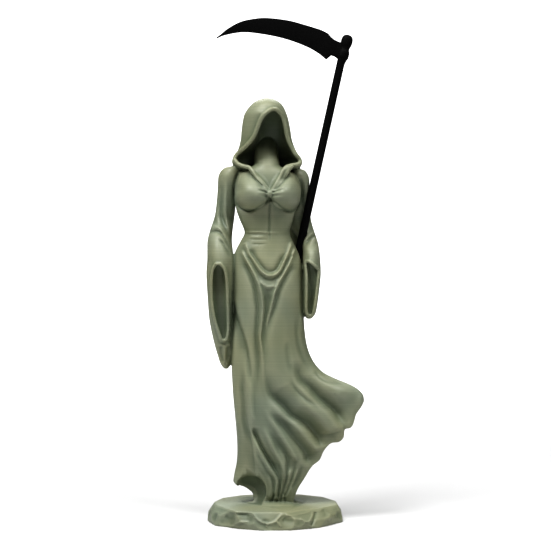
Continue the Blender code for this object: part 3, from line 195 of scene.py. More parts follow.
def surface_arrays(mesh):
    """A mesh's points and its normals there."""
    count = len(mesh.vertices)
    points, normals = np.empty(3 * count), np.empty(3 * count)
    mesh.vertices.foreach_get("co", points)
    mesh.vertex_normals.foreach_get("vector", normals)
    return points.reshape(-1, 3), normals.reshape(-1, 3)


def set_points(mesh, points):
    """Moves a mesh's vertices to the given points."""
    mesh.vertices.foreach_set("co", points.ravel())
    mesh.update()


def edge_ends(mesh):
    """The numbers of the vertices at the two ends of each edge."""
    ends = np.empty(2 * len(mesh.edges), int)
    mesh.edges.foreach_get("vertices", ends)
    return ends.reshape(-1, 2).T


def unit(vectors):
    """The given directions at length 1."""
    return vectors / np.maximum(np.linalg.norm(vectors, axis=-1, keepdims=True), 1e-9)


def squared(value, power):
    """A sine or cosine to a power, its sign kept; a power below 1 fills an oval's corners."""
    return np.sign(value) * np.abs(value) ** power


def ring_at(x, y, h, half_width, half_depth, sides=64, square=1.0):
    """A level oval ring; square below 1 fills its corners."""
    turn = np.linspace(0, 2 * math.pi, sides, endpoint=False)
    across, through = squared(np.cos(turn), square), squared(np.sin(turn), square)
    return np.column_stack(
        [x + half_width * across, y + half_depth * through, np.full(sides, h)]
    )


def skin(name, rings):
    """A closed skin over rings of equally many points, in thousandths of a metre."""
    rings = [np.asarray(ring, float) for ring in rings]
    around = len(rings[0])
    mesh = bpy.data.meshes.new(name)
    faces = [
        (
            i * around + j,
            i * around + (j + 1) % around,
            (i + 1) * around + (j + 1) % around,
            (i + 1) * around + j,
        )
        for i in range(len(rings) - 1)
        for j in range(around)
    ]
    last = (len(rings) - 1) * around
    faces.append(tuple(range(around)))
    faces.append(tuple(last + j for j in range(around)))
    mesh.from_pydata((np.vstack(rings) * MM).tolist(), [], faces)
    with editing(mesh) as work:
        bmesh.ops.remove_doubles(work, verts=work.verts, dist=SKIN_WELD)
        bmesh.ops.recalc_face_normals(work, faces=work.faces)
        bmesh.ops.triangulate(work, faces=[f for f in work.faces if len(f.verts) > 4])
    return new_object(name, mesh)


def level_loft(name, heights, left, right, front, rear, sides, square=1.0):
    """A skin over level ovals that reach from left to right and from front to rear."""
    front = np.broadcast_to(front, heights.shape)
    return skin(
        name,
        [
            ring_at((l + r) / 2, (f + b) / 2, h, (r - l) / 2, (b - f) / 2, sides, square)
            for h, l, r, f, b in zip(heights, left, right, front, rear)
        ],
    )


def evaluated_copy(source, name):
    """The object's evaluated mesh as a new plain object, and the source removed."""
    bpy.context.view_layer.update()
    graph = bpy.context.evaluated_depsgraph_get()
    mesh = bpy.data.meshes.new_from_object(source.evaluated_get(graph))
    bpy.data.objects.remove(source)
    return new_object(name, mesh)


def egg(name, centre, radii):
    """An egg of the given half-sizes, in thousandths of a metre."""
    mesh = bpy.data.meshes.new(name)
    with editing(mesh) as work:
        bmesh.ops.create_uvsphere(
            work, u_segments=EGG_SIDES, v_segments=EGG_SIDES // 2, radius=1.0)
        bmesh.ops.scale(work, vec=Vector(radii) * MM, verts=work.verts)
        bmesh.ops.translate(work, vec=Vector(centre) * MM, verts=work.verts)
    return new_object(name, mesh)


def cut(target, cutter, operation="DIFFERENCE", self_crossing=False):
    """Cuts or joins with a Boolean, applies it and removes the cutter."""
    change = target.modifiers.new(operation.title(), "BOOLEAN")
    change.operation = operation
    change.solver = "EXACT"
    change.use_self = self_crossing
    change.object = cutter
    made = evaluated_copy(target, target.name)
    bpy.data.objects.remove(cutter)
    return made


def add_node(tree, kind, place, **settings):
    """A node of the given kind, its settings and its unlinked inputs filled in."""
    node = tree.nodes.new(kind)
    node.location = place
    for name, value in settings.items():
        if name in node.bl_rna.properties:
            setattr(node, name, value)
        else:
            node.inputs[name.replace("_", " ")].default_value = value
    return node


def join(tree, start, output, end, socket):
    """Links an output of one node to an input of another."""
    tree.links.new(start.outputs[output], end.inputs[socket])


def finish_tree(tree, geometry, material):
    """Ends a geometry tree with Realize Instances and Set Material."""
    whole = add_node(tree, "GeometryNodeRealizeInstances", (500, 0))
    dressed = add_node(tree, "GeometryNodeSetMaterial", (700, 0))
    dressed.inputs["Material"].default_value = material
    out = add_node(tree, "NodeGroupOutput", (900, 0))
    tree.links.new(geometry, whole.inputs[0])
    join(tree, whole, 0, dressed, "Geometry")
    join(tree, dressed, 0, out, 0)


def new_tree(name, **inputs):
    """A geometry tree with the given named inputs, and each one's identifier."""
    tree = bpy.data.node_groups.new(name, "GeometryNodeTree")
    tree.interface.new_socket("Geometry", in_out="OUTPUT", socket_type="NodeSocketGeometry")
    tree.interface.new_socket("Geometry", in_out="INPUT", socket_type="NodeSocketGeometry")
    sockets = {}
    for title, kind in inputs.items():
        socket = tree.interface.new_socket(
            title.replace("_", " "), in_out="INPUT", socket_type=kind)
        sockets[title] = socket.identifier
    return tree, sockets


def grow(source, tree, sockets, name, **values):
    """Runs a geometry tree on an object with the given inputs and keeps the result."""
    change = source.modifiers.new(tree.name, "NODES")
    change.node_group = tree
    for title, value in values.items():
        change[sockets[title]] = value
    return evaluated_copy(source, name)


def roll_tree(material):
    """A round bar along a chain of edges, as thick as each point's own radius."""
    tree, sockets = new_tree("round_bar", Sides="NodeSocketInt", Thickness="NodeSocketFloat")
    start = add_node(tree, "NodeGroupInput", (-700, 0))
    line = add_node(tree, "GeometryNodeMeshToCurve", (-400, 100))
    radius = add_node(tree, "GeometryNodeInputNamedAttribute", (-400, -100), data_type="FLOAT",
                      Name="radius_here")
    ring = add_node(tree, "GeometryNodeCurvePrimitiveCircle", (-150, -150))
    bar = add_node(tree, "GeometryNodeCurveToMesh", (150, 0), Fill_Caps=True)
    join(tree, start, "Geometry", line, 0)
    join(tree, start, "Sides", ring, "Resolution")
    join(tree, start, "Thickness", ring, "Radius")
    join(tree, line, 0, bar, "Curve")
    join(tree, radius, "Attribute", bar, "Scale")
    join(tree, ring, 0, bar, "Profile Curve")
    finish_tree(tree, bar.outputs[0], material)
    return tree, sockets


def round_bar(name, path, radii, sides=16):
    """A round bar along a path in thousandths of a metre, with a radius at each point."""
    mesh = bpy.data.meshes.new(name)
    chain = [(i, i + 1) for i in range(len(path) - 1)]
    mesh.from_pydata((np.asarray(path, float) * MM).tolist(), chain, [])
    thickness = mesh.attributes.new("radius_here", "FLOAT", "POINT")
    thickness.data.foreach_set("value", np.asarray(radii, float))
    tree, sockets = roll_tree(None)
    made = grow(new_object(name, mesh), tree, sockets, name, Sides=sides, Thickness=MM)
    bpy.data.node_groups.remove(tree)
    with editing(made.data) as work:
        bmesh.ops.remove_doubles(work, verts=work.verts, dist=BAR_WELD)
        bmesh.ops.recalc_face_normals(work, faces=work.faces)
    return made


# Folds


FOLD_STEPS = 12  # how finely a fold's line is sampled between two of its points
SOFT_FOLD = 2.0  # the power of a soft fold's bell-shaped section
FOLD_REACH, CRISP_REACH = 3, 5  # how many half-widths away a soft and a crisp fold still act
FACING_FROM, FACING_RISE = -0.1, 0.45  # how far the cloth may turn away before a fold fades


def seen_from_front(points):
    """Where points appear in the front drawing, seen by the eye straight in front."""
    scale = EYE_DISTANCE / (EYE_DISTANCE + points[:, 1])
    return np.column_stack(
        [points[:, 0] * scale, EYE_HEIGHT + (points[:, 2] - EYE_HEIGHT) * scale]
    )


def behind_drawing(path, depths):
    """Points that appear at the drawn (x, h) and lie at the given y."""
    x, h = np.asarray(path, float).T
    y = np.broadcast_to(np.asarray(depths, float), x.shape)
    scale = 1 + y / EYE_DISTANCE
    return np.column_stack([x * scale, y, EYE_HEIGHT + (h - EYE_HEIGHT) * scale])


def fold_push(points, normals, fold, back=False):
    """How far one fold raises each point.

    A fold is (path, left, right, height, rise, fall): a line in the front drawing,
    its half-width to the left hand and to the right hand of someone walking along
    it, its height, which is below 0 for a crease, and the shares of its length
    over which it grows and dies away. A seventh number below 2 makes it crisper.
    """
    path, left, right, height, rise, fall, *crispness = fold
    power = crispness[0] if crispness else SOFT_FOLD
    seen = points[:, [0, 2]] if back else seen_from_front(points)
    line = spline(path, FOLD_STEPS * len(path))
    reach = (FOLD_REACH if power == SOFT_FOLD else CRISP_REACH) * max(left, right)
    outward = normals[:, 1] if back else -normals[:, 1]
    within = (seen > line.min(0) - reach) & (seen < line.max(0) + reach)
    near = within.all(1) & (outward > FACING_FROM)
    push = np.zeros(len(points))
    if not near.any():
        return push
    gap = ((seen[near, None, :] - line[None]) ** 2).sum(2)
    nearest = gap.argmin(1)
    heading = np.gradient(line, axis=0)[nearest]
    offset = seen[near] - line[nearest]
    leftward = heading[:, 0] * offset[:, 1] - heading[:, 1] * offset[:, 0]
    width = np.where(leftward > 0, left, right)
    along = nearest / (len(line) - 1)
    strength = smooth_step(along / max(rise, 1e-6)) * smooth_step((1 - along) / max(fall, 1e-6))
    facing = smooth_step((outward[near] - FACING_FROM) / FACING_RISE)
    across = np.exp(-((np.sqrt(gap.min(1)) / width) ** power))
    push[near] = height * strength * facing * across
    return push


def fold_shift(points, normals, folds, back_folds=()):
    """How far all the folds together move each point along Y: the front ones raise
    the cloth towards -Y and the back ones towards +Y, so it never doubles over."""
    forward = sum(fold_push(points, normals, fold) for fold in folds)
    backward = sum((fold_push(points, normals, fold, back=True) for fold in back_folds), 0.0)
    return backward - forward


def carve(target, folds):
    """Raises and sinks an object's surface along its folds."""
    points, normals = surface_arrays(target.data)
    points = points / MM
    points[:, 1] += fold_shift(points, normals, folds)
    set_points(target.data, points * MM)
    return target


LEAST_DEPTH = 0.35  # what a fold leaves of the gown's depth where the cloth is thin


def carve_rings(rings, folds, back_folds):
    """The same for a skin that is still a list of rings."""
    grid = np.array(rings)
    round_about = np.roll(grid, -1, axis=1) - np.roll(grid, 1, axis=1)
    downward = np.gradient(grid, axis=0)
    normals = unit(np.cross(downward, round_about))
    if normals[len(grid) // 2, grid.shape[1] // 4, 1] > 0:
        normals = -normals
    shift = fold_shift(grid.reshape(-1, 3), normals.reshape(-1, 3), folds, back_folds)
    depth = grid[:, :, 1].copy()
    moved = depth + shift.reshape(depth.shape)
    least = LEAST_DEPTH * depth
    grid[:, :, 1] = np.where(depth < 0, np.minimum(moved, least), np.maximum(moved, least))
    return list(grid)


# The gown


# Left and right edge in the front view, from the neck down: x and h of each, then
# how far the body reaches forwards and back there.
BODY_STATIONS = [
    (-8.6, 171.0, -0.4, 171.0, 4.4, 5.6),
    (-10.4, 169.2, 1.6, 168.8, 6.0, 6.8),
    (-13.4, 167.2, 4.8, 166.8, 7.2, 7.8),
    (-17.4, 165.4, 9.0, 165.0, 8.0, 8.8),
    (-19.4, 163.2, 11.2, 162.8, 8.7, 9.2),
    (-20.3, 160.0, 12.3, 160.0, 9.5, 9.2),
    (-20.4, 155.6, 12.7, 155.6, 10.6, 9.2),
    (-20.3, 151.0, 12.2, 151.0, 11.0, 8.8),
    (-19.8, 147.4, 10.9, 147.4, 10.2, 8.5),
    (-19.2, 145.0, 9.7, 145.0, 9.6, 8.2),
    (-17.8, 141.2, 8.7, 141.2, 8.7, 7.6),
    (-15.5, 135.2, 7.2, 135.2, 8.3, 7.2),
    (-17.2, 131.2, 8.4, 131.2, 8.8, 7.8),
    (-19.8, 126.2, 10.8, 126.2, 9.8, 9.6),
    (-21.3, 121.2, 12.6, 121.2, 11.0, 11.6),
    (-21.8, 113.8, 13.5, 113.8, 12.2, 13.2),
    (-21.8, 104.6, 14.0, 104.6, 12.9, 13.0),
    (-21.8, 95.4, 14.0, 95.4, 13.0, 12.8),
]
# The skirt's two edges, down to the lobe on the left and the train's tip
SKIRT_LEFT = [(-21.8, 95.0), (-22.0, 81.0), (-21.9, 67.0), (-21.3, 55.0), (-20.5, 46.0),
              (-19.6, 37.0), (-19.1, 29.0), (-19.3, 21.0), (-20.6, 14.5), (-21.2, 10.6)]
SKIRT_RIGHT = [(14.0, 95.0), (14.6, 86.0), (16.0, 77.5), (19.0, 70.5), (23.5, 65.4),
               (29.5, 62.2), (35.5, 59.8), (40.5, 57.2), (43.6, 54.2), (44.4, 51.0)]
SKIRT_FRONT = [13.0, 13.0, 13.2, 13.4, 13.2, 12.6, 11.6, 10.2, 8.6, 7.0]
SKIRT_BACK = [12.8, 12.6, 12.4, 12.2, 12.0, 11.6, 11.0, 10.2, 9.2, 8.4]
# The hem, from the lobe past the foot, which goes down into the rock, to the tip
HEM = [(-21.2, 10.6), (-18.8, 8.6), (-14.5, 7.0), (-11.6, 5.0), (-10.8, 1.5), (-10.0, -1.2),
       (-3.5, -1.5), (3.0, -1.5), (8.4, -1.2), (9.0, 2.0), (11.0, 7.6), (14.6, 13.4),
       (18.0, 18.8), (21.8, 22.0), (24.0, 26.6), (27.4, 30.2), (31.6, 31.0), (33.8, 33.2),
       (34.4, 37.0), (37.2, 37.8), (38.9, 40.2), (40.2, 44.4), (42.8, 48.0), (44.4, 51.0)]

GOWN_AROUND = 720
SKIRT_RINGS = 300
BODY_RINGS = 200
CLOTH_THICKNESS = 1.6
HEM_HOLLOW = 7.0
HEM_LOOK_UP = 15  # the ring, counted from the hem, that tells which way its cloth hangs
HEM_FREE = (6.0, 8.0)  # the height where the hem leaves the rock, and the rise to its full hollow
HEM_SHUT = 4.0  # the half-depth below which the hem's two edges close up
HEM_STEPS = ((0.0, 0.0), (0.45, 0.1), (0.85, 0.4), (1.0, 1.0))  # its rings' lifts and narrowings
GOWN_FULLNESS = 0.9  # below 1 the gown's ovals are fuller than round ones


def gown_ring(edge_points, forward, backward):
    """A closed ring through points between its two edges, bulging both ways.

    edge_points are (x, h) from the left edge to the right one, spaced so that
    they crowd near both edges as a circle's do.
    """
    half = len(edge_points)
    turn = np.linspace(0, math.pi, half)
    depth = np.sin(turn) ** GOWN_FULLNESS
    front = np.column_stack([edge_points[:, 0], -forward * depth, edge_points[:, 1]])
    rear = np.column_stack([edge_points[:, 0], backward * depth, edge_points[:, 1]])
    return np.vstack([front, rear[-2:0:-1]])


def along_curve(curve, share):
    """Points at the given shares of a finely sampled curve."""
    steps = np.linspace(0, 1, len(curve))
    return np.column_stack([np.interp(share, steps, column) for column in curve.T])


def skirt_point(across, down):
    """Where the skirt's cloth is in the front view: across and down run 0 to 1."""
    left = spline(SKIRT_LEFT, 400)
    right = spline(SKIRT_RIGHT, 400)
    hem = spline(HEM, 800)
    a, d = np.asarray(across, float), np.asarray(down, float)
    top = (1 - a)[:, None] * left[0] + a[:, None] * right[0]
    chord = (1 - a)[:, None] * left[-1] + a[:, None] * right[-1]
    sides = (1 - a)[:, None] * along_curve(left, d) + a[:, None] * along_curve(right, d)
    return sides + (1 - d)[:, None] * top + d[:, None] * along_curve(hem, a) - (
        (1 - d)[:, None] * top + d[:, None] * chord
    )


def gown():
    """Torso and skirt in one skin: level rings down to the thigh, then rings that
    lean towards the train, and a hollow under the hem."""
    half = GOWN_AROUND // 2
    across = (1 - np.cos(np.linspace(0, math.pi, half))) / 2
    rings = []
    for xl, hl, xr, hr, forward, backward in spline(BODY_STATIONS, BODY_RINGS):
        line = np.column_stack([xl + (xr - xl) * across, hl + (hr - hl) * across])
        rings.append(gown_ring(line, forward, backward))
    depths = spline(np.column_stack([SKIRT_FRONT, SKIRT_BACK]), SKIRT_RINGS)
    for down, (forward, backward) in zip(np.linspace(0, 1, SKIRT_RINGS), depths):
        line = skirt_point(across, np.full(half, down))
        rings.append(gown_ring(line, forward, backward))
    rings = carve_rings(raise_cups(rings), GOWN_FOLDS, back_folds())
    return skin("gown", rings + hem_hollow(rings))


def hem_hollow(rings):
    """Rings that turn in under the hem, so that its edge is as thin as cloth. The
    foot, which stands in the rock, stays full."""
    hem = rings[-1]
    upward = rings[-HEM_LOOK_UP] - hem
    upward[:, 1] = 0.0
    upward = unit(upward)
    leaves, rise = HEM_FREE
    clear = smooth_step((hem[:, 2] - leaves) / rise)
    free = (clear * smooth_step(np.abs(hem[:, 1]) / HEM_SHUT))[:, None]
    inner = []
    for lift, narrowing in HEM_STEPS:
        ring = hem + upward * free * lift * HEM_HOLLOW
        depth = np.maximum(np.abs(hem[:, 1]) - CLOTH_THICKNESS, 0.0) * (1 - narrowing)
        ring[:, 1] = np.sign(hem[:, 1]) * depth
        inner.append(ring)
    return inner


# Folds of the gown as drawn from the front, each as fold_push says
TRAIN_FOLDS = [
    # the crease inside the train's upper edge and the broad roll under it
    ([(19, 66.8), (21, 63.8), (24, 61.3), (27.5, 60), (32, 59.2), (38.5, 57.4)],
     0.6, 0.6, -0.6, 0.2, 0.3, 1.5),
    ([(14, 68.5), (18.5, 62.5), (23.5, 59), (30, 56.5), (36, 55), (41, 53.5)],
     4.0, 5.5, 2.0, 0.35, 0.35),
    # the first furrow, long on its upper side and steep on its lower one
    ([(8.5, 72), (10.5, 67.3), (13, 61.3), (17.5, 56.8), (21, 52.8), (25, 49.3), (29, 45.8),
      (32.5, 41.3), (33.6, 37)], 5.0, 2.4, -4.8, 0.45, 0.22, 1.5),
    # the second roll, with a line along its top, and the second furrow
    ([(8, 66.8), (11, 59.8), (15.5, 54.8), (20, 50.3), (24, 46.3), (28, 41.8), (30.5, 37.3),
      (31.5, 34.8)], 1.6, 2.0, 1.0, 0.3, 0.15),
    ([(6, 63.8), (10, 56.8), (15, 51.8), (19, 49.2), (23, 45.5)], 0.9, 0.9, -0.5, 0.3, 0.4),
    ([(8, 54.8), (15, 48.3), (21, 43.3), (26, 37.3), (27, 33.8)], 2.6, 3.6, 1.5, 0.3, 0.15),
    ([(-5, 68.3), (-4, 61.3), (-2.5, 55.3), (0, 51.8), (4, 47.8), (8, 43.8), (12, 41.3),
      (16, 38.3), (20, 33.8), (22.5, 29.8), (23.5, 27)], 4.6, 2.2, -4.4, 0.4, 0.2, 1.5),
    # the third roll and furrow
    ([(-3, 52.3), (0, 48.3), (4, 43.3), (9, 39.3), (13, 35.3), (16, 31.3), (19.5, 27.3),
      (21, 24.8)], 1.6, 1.8, 1.0, 0.3, 0.15),
    ([(-4, 45.3), (0, 41.8), (4, 38.3), (8, 33.3), (12, 28.3), (15, 24.3), (16, 21.3), (15.5, 18)],
     3.4, 2.2, -2.8, 0.35, 0.2, 1.6),
    # the fourth and fifth, which run into the foot
    ([(-6, 48.8), (-2, 41.3), (2, 35.3), (6, 28.8), (9, 23.8), (11, 19.8)],
     1.0, 1.4, 1.0, 0.3, 0.15),
    ([(-3, 36), (1, 29.8), (5, 23.8), (7, 18.8), (7, 14)], 2.0, 1.3, -1.5, 0.35, 0.2, 1.6),
    ([(-7, 39.3), (-4, 33.3), (-1.5, 27.3), (1, 22.8), (3, 18.3), (3.5, 13.8), (3, 8)],
     1.2, 1.2, 1.5, 0.3, 0.2),
    # the narrow dark crease that runs into the foot, and the fold on its left
    ([(-11.2, 38), (-10.5, 35.3), (-8.5, 30.3), (-6, 25.3), (-3.5, 21.3), (-1.5, 18.3),
      (0, 15.3), (1.4, 10.5), (1.3, 5)], 1.5, 1.1, -3.0, 0.2, 0.45, 1.25),
    ([(-11, 34), (-8.5, 27.8), (-5.5, 22.3), (-2.5, 17.3), (0, 13.3), (1, 9.8), (0.5, 4.8),
      (0.5, 1)], 0.7, 1.3, 1.5, 0.2, 0.05),
    ([(-12, 30), (-8.5, 22.5), (-5, 16.5), (-1.5, 11), (-0.8, 5), (-1, 1)],
     0.8, 0.8, -0.8, 0.3, 0.1),
    ([(-14, 36.3), (-10.5, 26.3), (-6.5, 18.8), (-3, 13.8), (-2, 6.3), (-2.6, 1)],
     1.4, 1.6, 0.9, 0.35, 0.1),
    # soft folds down the left
    ([(-16.5, 68), (-16.5, 57), (-16, 49.8), (-15.5, 41.3), (-13.5, 33), (-10, 24)],
     1.2, 1.2, -1.0, 0.25, 0.3),
    ([(-13, 66), (-12.5, 54), (-12, 46), (-11, 38)], 1.3, 1.3, 0.8, 0.3, 0.2),
    # small folds that gather into the foot
    ([(-0.5, 27), (1.8, 20), (3, 14), (2.2, 8), (1, 1.5)], 0.8, 0.8, -0.9, 0.5, 0.1, 1.6),
    ([(2.5, 26), (4.2, 19), (4.4, 13), (3.2, 7), (2, 1.3)], 0.9, 0.9, 0.7, 0.5, 0.1),
    ([(4.5, 27), (6, 20), (5.8, 13), (4.2, 7), (2.8, 2)], 0.8, 0.8, -0.9, 0.5, 0.1, 1.6),
    ([(6.5, 25), (7.4, 18), (6.6, 12), (5.2, 6), (3.6, 2)], 0.8, 0.8, 0.7, 0.5, 0.1),
    ([(9.8, 24), (9.6, 17), (8.2, 11.5), (6.2, 6), (4.6, 3)], 0.9, 0.9, -1.2, 0.5, 0.1, 1.5),
    ([(12.5, 22), (10.6, 15.5), (9, 11), (7, 6.3), (5, 2.5)], 0.9, 0.9, 0.8, 0.5, 0.1),
    ([(14.5, 21), (12, 14.5), (10, 10.5), (7.6, 6.3)], 0.8, 0.8, -0.8, 0.5, 0.2, 1.6),
]
COWL_FOLDS = [
    # the cowl's edge across the hips and the belly that dips behind it
    ([(-15.2, 130.2), (-14.8, 128.8), (-13.3, 125.3), (-11.5, 122.3), (-9.5, 119.3),
      (-7.5, 116.5), (-5.5, 114.5), (-3, 113.5), (-0.5, 113.8), (2, 115.8), (4, 119.8),
      (6, 124.3), (7.5, 128.3), (8.2, 131)], 0.6, 1.1, 1.4, 0.05, 0.05, 1.6),
    ([(-13.6, 127), (-11.4, 123.6), (-8.5, 119.6), (-5.5, 116.3), (-3, 115.2), (-0.6, 115.6),
      (1.4, 117.6), (3.2, 121.2), (5.2, 125.6)], 1.6, 0.6, -1.3, 0.1, 0.15, 1.4),
    ([(-14.5, 124.5), (-12, 120.3), (-9.8, 116.5), (-7.2, 113.3), (-3.5, 111.4), (0, 112.2),
      (2.6, 114.6), (5, 119), (7.2, 124)], 0.9, 0.9, -0.9, 0.1, 0.1, 1.4),
    ([(-8, 111.8), (-6.5, 109.3), (-4, 107.9), (-1.5, 108), (0.2, 109.2)],
     0.6, 0.7, 0.8, 0.2, 0.2),
    # the long band from the left hip, and the crease outside it
    ([(-17, 126.5), (-16, 123.8), (-14, 120.3), (-12, 116.8), (-10, 112.8), (-8.5, 109.3),
      (-7.5, 105.8), (-6.5, 101.3), (-6.3, 96.3), (-6.8, 90), (-7.5, 83.8), (-7.3, 78.8),
      (-6.8, 73.8), (-6.5, 68.8), (-6, 60), (-4.2, 52)], 0.8, 0.8, 1.5, 0.06, 0.3, 1.6),
    ([(-16.6, 121.5), (-14.5, 117.8), (-12, 112.8), (-10.3, 107.8), (-9.3, 101.3),
      (-8.8, 96.3), (-9, 90), (-9.3, 83.8), (-9, 76.3), (-8.5, 68.8), (-9, 60), (-9, 52)],
     0.8, 1.8, -1.6, 0.12, 0.35, 1.6),
    # the same from the right hip
    ([(9.8, 127.5), (9.3, 125.3), (7.5, 120.8), (5.5, 116.8), (3.3, 112.8), (1.3, 108.8),
      (-0.3, 104.8), (-1.3, 100.8), (-2.5, 96.3), (-3.8, 91.3), (-4.8, 86.3), (-5.5, 82.3)],
     0.7, 0.8, 1.4, 0.06, 0.25, 1.6),
    ([(9.5, 120), (7, 115.8), (4.5, 111.8), (2, 107.3), (0.5, 102.8), (-0.8, 97.8), (-2, 93.8),
      (-4, 86.3), (-5.2, 79)], 1.8, 0.9, -0.9, 0.12, 0.35, 1.7),
    ([(8.6, 124.5), (8, 122.8), (6, 118.8), (3.5, 114.3), (1, 111)],
     0.6, 0.6, -0.8, 0.2, 0.3, 1.4),
    # the valley between the two bands
    ([(-3.8, 108), (-4, 102), (-4.4, 97), (-5, 91), (-5.8, 84), (-6.2, 76), (-6.2, 68)],
     2.0, 2.0, -1.7, 0.2, 0.5),
    # the front panel's edge on the left thigh
    ([(-21.8, 101), (-21, 98.8), (-20, 94.8), (-18.5, 89.8), (-16.5, 83.8), (-15, 78.8),
      (-14, 73.8), (-13, 66), (-12.5, 58)], 0.8, 4.4, -2.8, 0.1, 0.4, 1.7),
    # soft folds down the right thigh
    ([(11, 95), (10.5, 88.8), (11, 81.3), (12, 76.3), (14, 71.3), (16, 68)],
     0.9, 0.9, -0.4, 0.35, 0.2),
    ([(12.8, 95), (12.5, 91.3), (12.5, 83.8), (14, 77.3), (16, 72.3)], 0.8, 0.8, 0.35, 0.3, 0.2),
    ([(6, 82), (6, 76), (6.8, 70), (8.5, 64)], 1.2, 1.2, -0.4, 0.3, 0.3),
]
GOWN_FOLDS = TRAIN_FOLDS + COWL_FOLDS
# Folds drawn on the fused skin: the bodice's, and the foot's on the rock
SKIN_FOLDS = [
    # under the cups
    ([(-20.6, 152.4), (-19.2, 149.4), (-17.4, 147.5), (-15.2, 146.4), (-12.9, 146.1),
      (-10.6, 146.8), (-8.2, 148.2), (-5.4, 150), (-2.8, 151.5)],
     0.6, 0.8, -1.5, 0.15, 0.05, 1.5),
    ([(-2.8, 151.5), (0.5, 150), (3.8, 147.3), (7, 145.8), (9.7, 146.5), (12.6, 151.1)],
     0.6, 0.8, -1.5, 0.05, 0.15, 1.5),
    # outside the lapels
    ([(-12.6, 164.2), (-10.4, 161.8), (-8, 159.8), (-5.4, 157.4)],
     0.5, 0.5, -0.9, 0.3, 0.2, 1.5),
    ([(6.9, 164.2), (5.6, 162.2), (3.4, 159.6), (1.2, 157.2), (-0.6, 155.8)],
     0.5, 0.5, -0.9, 0.3, 0.2, 1.5),
    # gathers that run into the knot
    ([(-10.4, 158), (-7, 156.9), (-3.8, 155.4)], 0.6, 0.6, 0.5, 0.6, 0.1),
    ([(-10, 156.7), (-6.6, 155.8), (-3.8, 154.8)], 0.45, 0.45, -0.45, 0.6, 0.1),
    ([(-9.4, 155.4), (-6, 154.8), (-3.8, 154.2)], 0.5, 0.5, 0.4, 0.6, 0.1),
    ([(-8.5, 153.6), (-5.6, 153.3), (-3.8, 153)], 0.45, 0.45, -0.5, 0.6, 0.1),
    ([(6, 157.9), (2.6, 157.2), (0, 156.2), (-1.8, 155.4)], 0.5, 0.5, 0.5, 0.6, 0.1),
    ([(6, 156.8), (2.4, 156.3), (0, 155.5), (-1.6, 154.9)], 0.45, 0.45, -0.45, 0.6, 0.1),
    ([(6, 155.4), (2.6, 155.2), (0, 154.8), (-1.6, 154.4)], 0.5, 0.5, 0.4, 0.6, 0.1),
    ([(5.4, 153.6), (2.6, 153.6), (0, 153.6), (-1.6, 153.5)], 0.45, 0.45, -0.5, 0.6, 0.1),
    ([(-2.7, 152.2), (-2.7, 151)], 0.9, 0.9, -1.3, 0.2, 0.2, 1.6),
    # the seam down the middle and the lines across the waist
    ([(-2.8, 151), (-2.9, 146), (-3, 140), (-3.1, 135), (-3.1, 129)],
     0.6, 0.6, -0.6, 0.1, 0.3, 1.6),
    ([(-16.5, 135.3), (-10, 135.2), (-5, 135), (-1, 134.9), (7.6, 135)],
     0.4, 0.5, 0.35, 0.05, 0.4, 1.6),
    ([(-15, 134.1), (-9, 134.1), (-3, 134.2)], 0.4, 0.4, -0.25, 0.3, 0.5),
    ([(-14.5, 132.8), (-9, 132.7), (-3, 132.8)], 0.4, 0.4, 0.2, 0.3, 0.5),
    ([(-14, 131.6), (-8, 131.4), (-2, 131.6)], 0.4, 0.4, -0.22, 0.3, 0.5),
    ([(-13, 129.3), (-8, 129.1), (-3, 129.4)], 0.4, 0.4, -0.25, 0.3, 0.5),
    # the cloth beside the cups
    ([(-18.2, 166), (-19.6, 162), (-20.6, 157), (-20.8, 151)], 0.6, 0.6, -0.9, 0.2, 0.2, 1.5),
    ([(-16.8, 165), (-18.4, 161), (-19.2, 156)], 0.6, 0.6, 0.5, 0.3, 0.4),
    ([(9.4, 165.6), (10.4, 162.6), (11.6, 160), (12.8, 157), (13.6, 153), (13.6, 149)],
     0.6, 0.6, -0.9, 0.2, 0.2, 1.5),
    # where the foot's folds spill onto the rock
    ([(-0.4, 5), (-1.4, 1.8), (-3.4, -0.8)], 0.6, 0.6, -0.6, 0.3, 0.3),
    ([(1.4, 5), (0.8, 1.5), (-0.4, -1.4)], 0.55, 0.55, -0.7, 0.3, 0.3),
    ([(3, 5), (2.7, 1.3), (2.3, -1.5)], 0.55, 0.55, -0.7, 0.3, 0.3),
    ([(4.6, 5.4), (4.7, 1.5), (5.2, -1.2)], 0.6, 0.6, -0.7, 0.3, 0.3),
]
# Middle and half-sizes of the hollow under the lobe at the hem's left
LOBE_HOLLOW = ((-13.6, -9.0, 6.2), (9.2, 9.2, 9.2))
BACK_FOLD_COUNT = 8
BACK_FOLD_POINTS = 7
BACK_RIDGE, BACK_FURROW = 1.5, -2.0
BACK_ACROSS, BACK_DOWN = (0.16, 0.86), (0.12, 0.98)  # the shares of the skirt that they cover


def back_folds():
    """Plainer folds down the back, fanning out as the skirt's cloth does."""
    folds = []
    for k, across in enumerate(np.linspace(*BACK_ACROSS, BACK_FOLD_COUNT)):
        down = np.linspace(*BACK_DOWN, BACK_FOLD_POINTS)
        path = skirt_point(np.full(BACK_FOLD_POINTS, across), down)
        height = BACK_RIDGE if k % 2 == 0 else BACK_FURROW
        width = 2.0 + 1.2 * across
        folds.append((path, width, width, height * (0.6 + 0.7 * across), 0.4, 0.1))
    return folds


# The bust and neck


